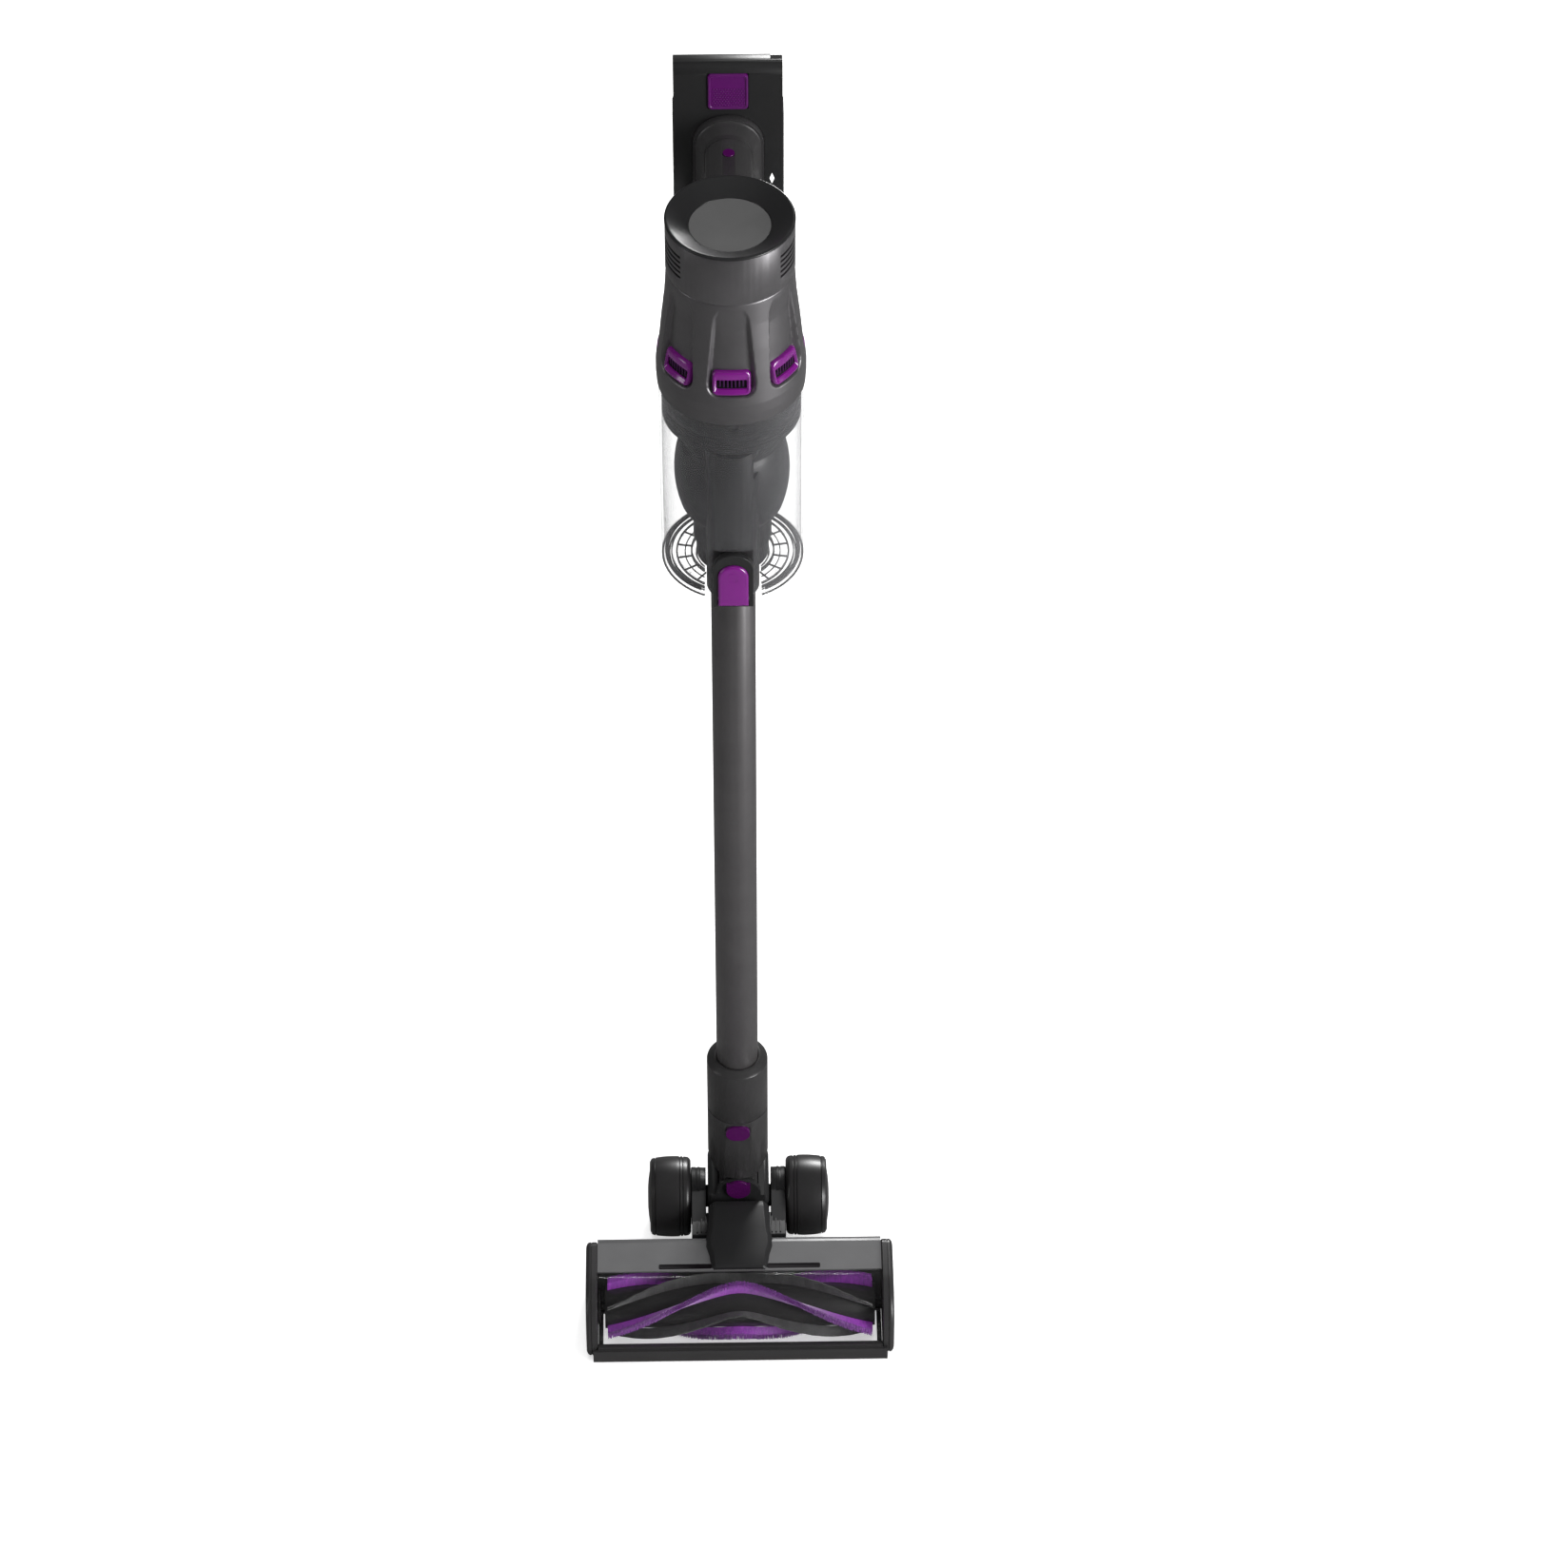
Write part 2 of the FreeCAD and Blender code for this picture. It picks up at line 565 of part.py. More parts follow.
def battery_case():
    """A slim case, domed over the top of its back, with a step at its upper right corner."""
    half, front, back = dim("battery_half_width"), dim("battery_front"), dim("battery_back")
    low, top = dim("battery_bottom"), dim("battery_top")
    dome = 21.5
    block = box("case_block", (-half, half), (front, back), (low, top))
    block = rounded("case_dome", block, dome,
                    lambda e: runs_along(e, "X") and at_place(e, y=(190, 200), z=(1050, 1070)))
    block = rounded("case_front_top", block, 7,
                    lambda e: runs_along(e, "X") and at_place(e, y=(160, 170), z=(1050, 1070)))
    block = rounded("case_foot", block, 6,
                    lambda e: runs_along(e, "X") and at_place(e, y=(190, 200), z=(920, 930)))
    step = box("case_step", (half - 8.7, half + 1), (front + 9, back + 1), (top - 9, top + 1))
    dome_y, dome_z, inner = back - dome, top - dome, dome - 1.7
    arc = [(dome_y + inner * math.cos(math.radians(a)), dome_z + inner * math.sin(math.radians(a)))
           for a in (0, 20, 40, 60, 80)]
    front_wall = front + 8.2
    cavity = slab("case_cavity", "YZ",
                  [(front_wall, low + 10), (back - 1.7, low + 10), *arc, (front_wall, dome_z + inner)],
                  (-half + 3.6, half - 8.9))
    foot_space = fuse("foot_space",
                      oval_bar("foot_room", dim("foot_width") + CLEARANCE * 2,
                               dim("foot_tall") + CLEARANCE * 2, dim("foot_height"),
                               (front - 9, front + 6.4)),
                      box("foot_way", (-dim("foot_width") / 2 - CLEARANCE,
                                       dim("foot_width") / 2 + CLEARANCE),
                          (front - 9, front + 6.4), (low - 30, dim("foot_height"))))
    latch_pocket = box("latch_pocket",
                       (-dim("latch_half_width") - CLEARANCE, dim("latch_half_width") + CLEARANCE),
                       (front - 9, front + 6),
                       (dim("latch_bottom") - CLEARANCE, dim("latch_top") + CLEARANCE))
    lens_pocket = slab("lens_pocket", "XZ", lozenge(1.75, 4.8), (front - 9, front + 1.6))
    socket_hole = rod("socket_hole", "Z", 4.55, (low - 1, low + 9.1), SOCKET_PLACE)
    piece("battery_case", cut("case", block, step, cavity, foot_space, latch_pocket, lens_pocket,
                              socket_hole))


SOCKET_PLACE = (24, 184)


def lozenge(half_width, half_tall):
    centre_x, centre_z = 31, 956
    return [(centre_x - half_width, centre_z), (centre_x, centre_z - half_tall),
            (centre_x + half_width, centre_z), (centre_x, centre_z + half_tall)]


def battery_contents():
    low = dim("battery_bottom")
    left = 3.7 - dim("battery_half_width")
    cells = [rod(f"cell{level}", "X", dim("cell_radius"), (left, left + dim("cell_length")),
                 (182.5, low + 22.3 + dim("cell_pitch") * level)) for level in range(6)]
    piece("battery_cells", group("cells", *cells))
    piece("battery_board", box("cell_board", (-34, 28), (174, 191), (low + 10.3, low + 11.9)))
    piece("charging_socket", tube("socket_sleeve", "Z", (2.75, 4.5), (low, low + 9), SOCKET_PLACE))
    piece("indicator_lens", slab("lens_gem", "XZ", lozenge(1.7, 4.75), (164.7, 166.5)))
    pads = []
    for side in (-1, 1):
        inner = dim("battery_half_width") + FIT
        xs = (inner, inner + 1) if side > 0 else (-inner - 1, -inner)
        pads.append(box(f"pad{side + 1}", xs, (168, 190), (937, 1012)))
    piece("battery_grip_pads", group("grip_pads", *pads))


def battery_latch():
    half = dim("latch_half_width")
    plate = box("latch_plate", (-half, half), (dim("battery_front") - 1.6, dim("battery_front") + 3.2),
                (dim("latch_bottom"), dim("latch_top")))
    piece("battery_latch", rounded("latch_soft", plate, 3, lambda e: runs_along(e, "Y")))


# ---------------------------------------------------------------- wand

def wand():
    inside = dim("wand_radius") - dim("wand_wall")
    low, top = dim("wand_bottom"), dim("wand_top")
    piece("wand_tube", tube("wand_pipe", "Z", (inside, dim("wand_radius")), (low, top), (0, 0)))
    plugs = [tube(f"plug{end}", "Z", (12.9, inside - 0.02), zs, (0, 0))
             for end, zs in enumerate(((low + 0.5, low + 22), (top - 22, top - 0.5)))]
    piece("wand_plugs", group("plug_pair", *plugs))
    piece("wand_wiring", rod("wiring", "Z", 1.2, (low + 22.1, top - 22.1), (0, inside - 1.3)))


# ---------------------------------------------------------------- elbow and universal joint

LEAN_Z = dim("lean_height")
AXLE_Z = dim("axle_height")


def elbow():
    radius, low, seam = dim("elbow_radius"), dim("elbow_bottom"), dim("collar_bottom") - 0.3
    barrel = rod("elbow_barrel", "Z", radius, (low, seam), (0, 0))
    shoulders = []
    for side in (-1, 1):
        wedge = [(side * 14.3, low), (side * 24.4, low + 12), (side * 30, low + 12),
                 (side * 30, low - 10), (side * 14.3, low - 10)]
        shoulders.append(slab(f"shoulder{side + 1}", "XZ", wedge, (-40, 40)))
    trimmed = cut("elbow_trimmed", barrel, *shoulders)
    depth = dim("tongue_half_depth")
    tongue = fuse("tongue", rod("tongue_round", "Y", dim("tongue_radius"), (-depth, depth), (0, LEAN_Z)),
                  box("tongue_plate", (-14.3, 14.3), (-depth, depth), (LEAN_Z, low + 4)))
    tongue_round = rod("tongue_in_barrel", "Z", radius - 1, (0, low + 4), (0, 0))
    whole = fuse("elbow_whole", trimmed, common("tongue_shape", tongue, tongue_round))
    chamber = rod("elbow_chamber", "Z", 14.5, (low + 14, 200), (0, 0))
    airway = rod("elbow_airway", "Z", dim("air_radius"), (20, low + 20), (0, 0))
    pin_holes = rod("elbow_pin_hole", "Y", 5.05, (-40, 40), (0, LEAN_Z))
    button_room = oval_room("elbow_button_room", CLEARANCE, (-30, -17))
    piece("elbow_body", cut("elbow", whole, chamber, airway, pin_holes, button_room))
    piece("head_release_button", oval_room("elbow_button", 0, (-25.4, -19.4)))
    bottom, top = dim("collar_bottom"), dim("collar_top")
    bore = dim("wand_radius") + CLEARANCE + 0.05
    profile = [(bore, bottom), (radius, bottom), (radius, top - 4), (bore + 1.6, top), (bore, top)]
    piece("elbow_collar", turned("collar", "Z", profile, (0, 0)))


def oval_room(name, extra, ys):
    """A flat oval across the front of the elbow, for the release button and its pocket."""
    centre = dim("collar_bottom") - 10.6
    parts = [rod(f"{name}{side + 1}", "Y", 7.8 + extra, ys, (side * 1.7, centre)) for side in (-1, 1)]
    parts.append(box(name + "_middle", (-1.7, 1.7), ys, (centre - 7.8 - extra, centre + 7.8 + extra)))
    return fuse(name, *parts)


def tilt_yoke():
    half, deep = dim("yoke_half_width"), dim("yoke_half_depth")
    barrel = rod("yoke_barrel", "X", dim("hub_radius"), (-half, half), (0, AXLE_Z))
    block = box("yoke_block", (-half, half), (-deep, deep), (AXLE_Z, LEAN_Z))
    block = rounded("yoke_block_soft", block, 4,
                    lambda e: runs_along(e, "Z") or (runs_along(e, "Y") and at_place(e, z=(55, 70))))
    lugs = rod("yoke_lugs", "Y", dim("lug_radius"), (-deep, deep), (0, LEAN_Z))
    trunnions = rod("yoke_trunnions", "X", 9, (-half - 5, half + 5), (0, AXLE_Z))
    solid = fuse("yoke_solid", barrel, block, lugs, trunnions)
    gap, depth = dim("cheek_gap"), dim("tongue_half_depth") + CLEARANCE
    room = box("yoke_room", (-half - 1, half + 1), (-depth, depth), (LEAN_Z, 120))
    low_room = rod("yoke_low_room", "Y", gap, (-depth, depth), (0, LEAN_Z))
    airway = rod("yoke_airway", "Z", dim("air_radius"), (AXLE_Z, LEAN_Z), (0, 0))
    mouth = rod("yoke_mouth", "Y", dim("air_radius"), (-60, 0), (0, AXLE_Z))
    pin_holes = rod("yoke_pin_hole", "Y", 5.02, (-40, 40), (0, LEAN_Z))
    piece("tilt_yoke", cut("yoke", solid, room, low_room, airway, mouth, pin_holes))
    inner = dim("air_radius") + 1
    pins = [rod("swivel_pin_front", "Y", 5, (-deep, -inner), (0, LEAN_Z)),
            rod("swivel_pin_back", "Y", 5, (inner, deep), (0, LEAN_Z))]
    piece("swivel_pins", group("swivel_pin_pair", *pins))
    cap_low, cap_high = LEAN_Z + 8.5, LEAN_Z + 15.2
    round_foot = rod("cap_foot", "Y", 9.5, (-deep - 2.6, -deep - 0.05), (0, cap_low))
    straight = box("cap_straight", (-9.5, 9.5), (-deep - 2.6, -deep - 0.05), (cap_low, cap_high))
    piece("swivel_cap", fuse("pin_cap", round_foot, straight))


# ---------------------------------------------------------------- wheels

def wheels():
    """Two barrel-shaped wheels: a hard hub with a grooved tyre round it, on stub axles."""
    inner, outer, radius = dim("wheel_inner"), dim("wheel_outer"), dim("wheel_radius")
    bore, core = dim("axle_radius") + FIT, 24
    for side, word in ((-1, "left"), (1, "right")):
        def across(points):
            return [(x * side, r) for x, r in points]
        hub = [(inner + 0.2, bore), (inner + 0.2, core), (outer - 2.4, core), (outer - 0.9, 17),
               (outer, 8), (outer, 0), (outer - 4, 0), (outer - 4, bore)]
        piece(f"wheel_hub_{word}", turned(f"hub_{word}", "X", across(hub), (0, AXLE_Z)))
        tyre = [(inner, core + 0.02), (inner, radius - 2.6), (inner + 1.4, radius - 0.7)]
        for groove in (5.6, 8.2, 28):
            tyre += [(inner + groove, radius), (inner + groove + 0.1, radius - 0.9),
                     (inner + groove + 0.8, radius - 0.9), (inner + groove + 0.9, radius)]
        tyre += [(inner + 30.4, radius - 1), (outer - 1.8, radius - 4.5), (outer - 1.8, core + 0.02)]
        piece(f"wheel_tyre_{word}", turned(f"tyre_{word}", "X", across(tyre), (0, AXLE_Z)))


def span_on(side, near, far):
    """A stretch along X on one side of the middle, low end first."""
    return (near, far) if side > 0 else (-as_size(far), -as_size(near))


def wheel_mounts():
    brackets = []
    axles = []
    near, far = dim("hub_inner"), dim("hub_outer")
    for side in (-1, 1):
        hub = rod(f"bracket_hub{side + 1}", "X", dim("hub_radius") - 1, span_on(side, near, far),
                  (0, AXLE_Z))
        arm = slab(f"bracket_arm{side + 1}", "YZ",
                   [(-10, AXLE_Z + 20), (-dim("head_back") + 0.1, 52), (-dim("head_back") + 0.1, 20),
                    (-10, AXLE_Z - 18)], span_on(side, near, far))
        socket = rod(f"bracket_socket{side + 1}", "X", 9.05, span_on(side, near - 1, near + 5.2),
                     (0, AXLE_Z))
        axle_hole = rod(f"bracket_axle{side + 1}", "X", dim("axle_radius") + 0.02,
                        span_on(side, near, far + 1), (0, AXLE_Z))
        brackets.append(cut(f"bracket{side + 1}", fuse(f"bracket_solid{side + 1}", hub, arm),
                            socket, axle_hole))
        axles.append(rod(f"axle{side + 1}", "X", dim("axle_radius"),
                         span_on(side, near + 5.6, dim("wheel_outer") - 4.4), (0, AXLE_Z)))
    piece("wheel_brackets", group("bracket_pair", *brackets))
    roller = dim("roller_radius")
    axles += [rod(f"roller_axle{side + 1}", "X", 1.5, span_on(side, 52.1, 69.9), (-72.5, roller))
              for side in (-1, 1)]
    piece("wheel_axles", group("axle_set", *axles))


# ---------------------------------------------------------------- floor head

BRUSH_Y = -dim("brush_reach")
BRUSH_Z = dim("brush_height")
BRUSH = (BRUSH_Y, BRUSH_Z)


def head_housing():
    inner = dim("cap_inner") - 0.2
    back, top, front = -dim("head_back"), dim("head_top"), -dim("roof_front")
    block = box("head_block", (-inner, inner), (front, back), (dim("sole_top") + 0.1, top))
    block = rounded("head_block_soft", block, 9,
                    lambda e: runs_along(e, "X") and at_place(e, y=(-70, -60), z=(50, 70)))
    chamber = rod("brush_chamber", "X", dim("window_inner") + 0.9, (-inner - 5, inner + 5), BRUSH)
    hollow_box = box("head_hollow", (-inner - 5, inner + 5), (front + 2, back - 2.5),
                     (dim("sole_top") + 2.6, top - 2.4))
    keep_wall = rod("chamber_wall", "X", dim("window_inner") + 3.2, (-inner - 9, inner + 9), BRUSH)
    hollow = cut("head_hollow_shape", hollow_box, keep_wall)
    airway = rod("head_airway", "Y", 12, (-100, -50), (0, AXLE_Z))
    rollers = [box(f"roller_room{side + 1}", span_on(side, 52, 70), (-79.5, -65.5), (0, 14))
               for side in (-1, 1)]
    piece("head_housing", cut("head_shell", block, chamber, hollow, airway, *rollers))


def brush_window():
    inner = dim("cap_inner") - 0.2
    ring = tube("window_ring", "X", (dim("window_inner"), dim("window_outer")), (-inner, inner), BRUSH)
    front = box("window_side", (-inner - 1, inner + 1), (-200, -dim("roof_front") - 0.15),
                (dim("bar_top") + 0.15, 80))
    piece("brush_window", common("window", ring, front))


def front_bar():
    """The strip along the lower front edge, with a step where the lip stands out."""
    inner, front, top = dim("cap_inner") - 0.2, -dim("bar_front"), dim("bar_top")
    body = box("bar_body", (-inner, inner), (front + 2, front + 8), (dim("sole_top") + 0.1, top))
    lip = box("bar_lip", (-inner - 4, inner + 4), (front, front + 2.4), (2.9, top - 3))
    clear = rod("bar_clear", "X", dim("window_outer") + 0.05, (-200, 200), BRUSH)
    piece("front_bar", cut("bar", fuse("bar_union", body, lip), clear))


def sole_plate():
    inner = dim("cap_inner") - 0.2
    low, top = dim("sole_bottom"), dim("sole_top")
    plate = box("sole_block", (-inner, inner), (-dim("bar_front") + 2.6, -dim("head_back")), (low, top))
    mouth = box("sole_mouth", (-109, 109), (-138, -88), (low - 1, top + 1))
    rollers = [box(f"sole_roller_room{side + 1}", span_on(side, 52, 70), (-79.5, -65.5), (0, 14))
               for side in (-1, 1)]
    piece("sole_plate", cut("sole", plate, mouth, *rollers))
    for side, word in ((-1, "left"), (1, "right")):
        wheel = tube(f"roller_{word}", "X", (1.55, dim("roller_radius")), span_on(side, 54, 68),
                     (-72.5, dim("roller_radius")))
        piece(f"sole_roller_{word}", wheel)


def end_cap(word, side):
    """A side cheek of the head that closes the brush chamber."""
    inner, outer = dim("cap_inner"), dim("head_half_width")
    profile = [(-dim("head_back"), 6), (-dim("head_back"), 50), (-dim("head_back") - 9, 60),
               (-112, 61), (-122, 59.4), (-131, 55), (-138, 48.5), (-142.5, 40), (-144.2, 30),
               (-144.2, 8), (-139, 3), (-66, 3)]
    plate = slab(f"cheek_{word}", "YZ", profile, span_on(side, inner, outer))
    edge = float(outer) * side - side * 0.5
    soft = rounded(f"cheek_soft_{word}", plate, 2.4,
                   lambda e: at_place(e, x=(min(edge, edge + side), max(edge, edge + side))))
    bearing = rod(f"bearing_room_{word}", "X", 7.02, span_on(side, inner - 1, inner + 5), BRUSH)
    return cut(f"end_{word}", soft, bearing)


def end_caps():
    belt_room = belt_loop("belt_room", dim("pulley_radius") + 2.5, dim("brush_pulley_radius") + 2.5,
                          (-dim("cap_inner") - 6.5, -dim("cap_inner") + 1))
    piece("end_cap_left", cut("end_cap_with_room", end_cap("left", -1), belt_room))
    piece("end_cap_right", end_cap("right", 1))
    inner = dim("cap_inner")
    piece("brush_bearing", tube("bearing", "X", (4.05, 7), (inner + 0.1, inner + 5), BRUSH))


def head_neck():
    """The throat that carries the air from the brush chamber to the joint, and its cover."""
    back, seat, top = -dim("neck_back"), -dim("head_back") + 0.1, dim("neck_top")
    throat = slab("throat", "XY", [(-24, back), (24, back), (25.6, seat), (-25.6, seat)], (14, top - 1))
    cover = slab("neck_cover", "XY",
                 [(-24, back), (24, back), (26, -62), (30, -93), (26, -99), (-26, -99), (-30, -93),
                  (-26, -62)], (dim("head_top") + 0.05, top + 1.2))
    airway = rod("neck_airway", "Y", 12, (-70, 0), (0, AXLE_Z))
    swing = rod("neck_swing", "X", dim("neck_back") - 2.6, (-60, 60), (0, AXLE_Z))
    piece("head_neck", cut("neck", fuse("neck_union", throat, cover), airway, swing))


def brush_drive():
    reach, height = -dim("motor_reach"), dim("motor_height")
    seat = (reach, height)
    bore = rod("drive_bore", "X", 1.55, (-120, -90), seat)
    can = rod("drive_can", "X", 8, (-108, -72), seat)
    piece("brush_motor", cut("drive_motor", can, bore))
    pulley = fuse("pulley_union",
                  rod("pulley_wheel", "X", dim("pulley_radius"), (-118.6, -112), seat),
                  rod("pulley_shaft", "X", 1.5, (-118.6, -95), seat))
    piece("motor_pulley", pulley)
    belt_thickness = 1.3
    small, large = dim("pulley_radius") + 0.2, dim("brush_pulley_radius") + 0.2
    outer = belt_loop("belt_outer", small + belt_thickness, large + belt_thickness, (-118.3, -114.3))
    inner = belt_loop("belt_inner", small, large, (-119, -113))
    piece("drive_belt", cut("belt", outer, inner))


def belt_loop(name, small, large, span):
    """The space a belt encloses round both pulleys, taken as two discs and their common tangents."""
    shift_y = float(BRUSH_Y) + DIMENSIONS["motor_reach"]
    shift_z = float(BRUSH_Z) - DIMENSIONS["motor_height"]
    distance = math.hypot(shift_y, shift_z)
    heading = math.atan2(shift_z, shift_y)
    spread = math.acos((float(small) - float(large)) / distance)
    motor = (-DIMENSIONS["motor_reach"], DIMENSIONS["motor_height"])
    brush = (float(BRUSH_Y), float(BRUSH_Z))
    corners = []
    for centre, radius, sign in ((motor, small, 1), (brush, large, 1), (brush, large, -1),
                                 (motor, small, -1)):
        angle = heading + sign * spread
        corners.append((centre[0] + float(radius) * math.cos(angle),
                        centre[1] + float(radius) * math.sin(angle)))
    straight = slab(name + "_straights", "YZ", corners, span)
    discs = [rod(name + "_small", "X", small, span, (-dim("motor_reach"), dim("motor_height"))),
             rod(name + "_large", "X", large, span, BRUSH)]
    return fuse(name, straight, *discs)


BRUSH_TURN = 118            # degrees that a strip winds from the middle to its end
STRIP_SECTIONS = 10


def chevron_strip(inner, outer, width, start_degrees):
    """One strip wound round the brush core, mirrored about the middle so that it makes a V."""
    half = DIMENSIONS["brush_half_length"]
    wires = []
    for index in range(-STRIP_SECTIONS, STRIP_SECTIONS + 1):
        share = index / STRIP_SECTIONS
        angle = math.radians(start_degrees + BRUSH_TURN * abs(share))
        out = Vector(0, math.cos(angle), math.sin(angle))
        along = Vector(0, -math.sin(angle), math.cos(angle))
        centre = Vector(share * half, 0, 0)
        corners = [centre + out * r + along * side * width / 2
                   for r, side in ((inner, -1), (outer, -1), (outer, 1), (inner, 1))]
        wires.append(Part.makePolygon(corners + corners[:1]))
    return Part.makeLoft(wires, True, True)


def strip_set(label, inner, outer, width, first_degrees):
    strips = [chevron_strip(inner, outer, width, first_degrees + turn) for turn in (0, 120, 240)]
    feature = document.addObject("Part::Feature", label + "_set")
    feature.Shape = Part.makeCompound(strips)
    place(feature, 0, BRUSH_Y, BRUSH_Z)
    piece(label, feature)


def brush_roll():
    length, radius = dim("brush_half_length"), dim("core_tube_radius")
    core = rod("roll_core", "X", radius, (-length - 2, length + 2), BRUSH)
    spindle = rod("roll_spindle", "X", 4, (-length - 13.4, dim("cap_inner") + 4.8), BRUSH)
    pulley = rod("roll_pulley", "X", dim("brush_pulley_radius"), (-length - 13.4, -length - 9), BRUSH)
    flange = rod("roll_flange", "X", 14, (-length - 7.4, -length - 5.4), BRUSH)
    bearing_seat = fuse("roll_union", core, spindle, pulley, flange)
    piece("brush_core", bearing_seat)
    inner, outer = DIMENSIONS["core_tube_radius"] + 0.25, DIMENSIONS["bristle_radius"]
    strip_set("bristle_strips", inner, outer, 4.6, 90)
    strip_set("sweeper_strips", inner, outer - 1.5, 3, 150)


# ---------------------------------------------------------------- assembly

def build():
    for make in (motor_housing, vent_grilles, exhaust_band, bezel_and_display, filter_motor_and_fan,
                 seat_ring, cyclone_core, inlet_duct, bin_shell, bin_lid, latch_frame_and_button,
                 handle_grip, handle_controls, battery_case, battery_contents, battery_latch, wand,
                 elbow, tilt_yoke, wheels, wheel_mounts, head_housing, brush_window, front_bar,
                 sole_plate, end_caps, head_neck, brush_drive, brush_roll):
        make()
    document.recompute()


def check():
    for feature in document.Objects:
        if "Invalid" in feature.State or "Error" in feature.State:
            raise RuntimeError(f"{feature.Name} failed: {feature.State}")
    for label, feature in PIECES.items():
        if feature.Shape.isNull() or not feature.Shape.isValid():
            raise RuntimeError(f"{label} has no valid shape")


def export():
    os.makedirs("parts", exist_ok=True)
    for label, feature in PIECES.items():
        feature.Shape.exportStep(f"parts/{label}.step")
        print(f"{label}: {len(feature.Shape.Solids)} solid(s), {feature.Shape.Volume / 1000:.2f} cm3")


build()
check()
export()
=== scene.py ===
import json
import math
import random

import bmesh
import bpy
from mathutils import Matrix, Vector


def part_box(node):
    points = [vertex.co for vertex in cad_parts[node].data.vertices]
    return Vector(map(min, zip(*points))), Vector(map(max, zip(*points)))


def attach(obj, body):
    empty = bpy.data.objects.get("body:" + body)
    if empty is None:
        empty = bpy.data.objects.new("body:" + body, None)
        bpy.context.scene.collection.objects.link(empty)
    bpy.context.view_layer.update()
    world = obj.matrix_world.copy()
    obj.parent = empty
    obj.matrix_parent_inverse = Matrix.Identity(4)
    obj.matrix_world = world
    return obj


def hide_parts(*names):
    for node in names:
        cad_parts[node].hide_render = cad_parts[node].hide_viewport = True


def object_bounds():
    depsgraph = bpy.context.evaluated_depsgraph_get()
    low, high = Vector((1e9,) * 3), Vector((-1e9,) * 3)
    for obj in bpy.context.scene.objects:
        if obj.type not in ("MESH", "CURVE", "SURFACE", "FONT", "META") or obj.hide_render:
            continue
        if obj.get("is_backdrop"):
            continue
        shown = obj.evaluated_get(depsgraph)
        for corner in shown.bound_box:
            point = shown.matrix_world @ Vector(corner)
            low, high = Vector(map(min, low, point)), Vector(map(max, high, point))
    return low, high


# A cordless stick vacuum: bin, motor unit, pistol grip and battery over a long wand and a wheeled
# floor head. Shapes are worked out in millimetres from the wand's axis (+X right, -Y front, z = 0
# the floor), and a finished mesh is moved into the frame's metres.

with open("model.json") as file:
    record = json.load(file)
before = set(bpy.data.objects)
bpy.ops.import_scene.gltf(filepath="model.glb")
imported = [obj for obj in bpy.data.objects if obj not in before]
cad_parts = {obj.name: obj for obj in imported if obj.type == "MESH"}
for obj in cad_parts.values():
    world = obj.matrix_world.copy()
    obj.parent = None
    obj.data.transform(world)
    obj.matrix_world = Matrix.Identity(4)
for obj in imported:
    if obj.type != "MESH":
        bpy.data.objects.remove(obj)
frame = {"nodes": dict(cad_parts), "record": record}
cad_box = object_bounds()

low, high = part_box("wand_tube")
WAND_Y = (low.y + high.y) / 2
METRES = 0.001            # how long a millimetre is in the frame's units


def span(node):
    """A CAD node's lowest and highest corners, in millimetres from the wand's axis."""
    return [(corner - Vector((0, WAND_Y, 0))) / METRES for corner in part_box(node)]


band_low, band_high = span("exhaust_band")
UNIT = (0, (band_low.y + band_high.y) / 2)      # the axis of the bin and the motor unit
BAND_RADIUS = band_high.x


# ---------------------------------------------------------------- materials

CLOUD_SCALE, HANDLING_SCALE = 38, 95      # features in a metre of the colour's and the gloss's drift


def node_tree(name):
    """A new node material, with its tree, its shader and the place on the object."""
    material = bpy.data.materials.new(name)
    material.use_nodes = True
    tree = material.node_tree
    shader = tree.nodes["Principled BSDF"]
    place = tree.nodes.new("ShaderNodeTexCoord")
    return material, tree, shader, place.outputs["Object"]


def noise(tree, place, scale, detail=3, stretch=(1, 1, 1)):
    """Noise with `scale` features in a metre, stretched along the axes."""
    mapping = tree.nodes.new("ShaderNodeMapping")
    mapping.inputs["Scale"].default_value = [scale * s for s in stretch]
    tree.links.new(place, mapping.inputs["Vector"])
    texture = tree.nodes.new("ShaderNodeTexNoise")
    texture.inputs["Scale"].default_value = 1
    texture.inputs["Detail"].default_value = detail
    tree.links.new(mapping.outputs["Vector"], texture.inputs["Vector"])
    return texture.outputs["Fac"]


def between(tree, factor, dark, light):
    """A colour that drifts between two as a noise goes from its low to its high values."""
    ramp = tree.nodes.new("ShaderNodeValToRGB")
    ramp.color_ramp.elements[0].position = 0.3
    ramp.color_ramp.elements[1].position = 0.7
    ramp.color_ramp.elements[0].color = (*dark, 1)
    ramp.color_ramp.elements[1].color = (*light, 1)
    tree.links.new(factor, ramp.inputs["Fac"])
    return ramp.outputs["Color"]


def ranged(tree, factor, low_end, high_end):
    """A number that goes from one end to the other as a noise goes from low to high."""
    steps = tree.nodes.new("ShaderNodeMapRange")
    steps.inputs["From Min"].default_value = 0.25
    steps.inputs["From Max"].default_value = 0.75
    steps.inputs["To Min"].default_value = low_end
    steps.inputs["To Max"].default_value = high_end
    tree.links.new(factor, steps.inputs["Value"])
    return steps.outputs["Result"]


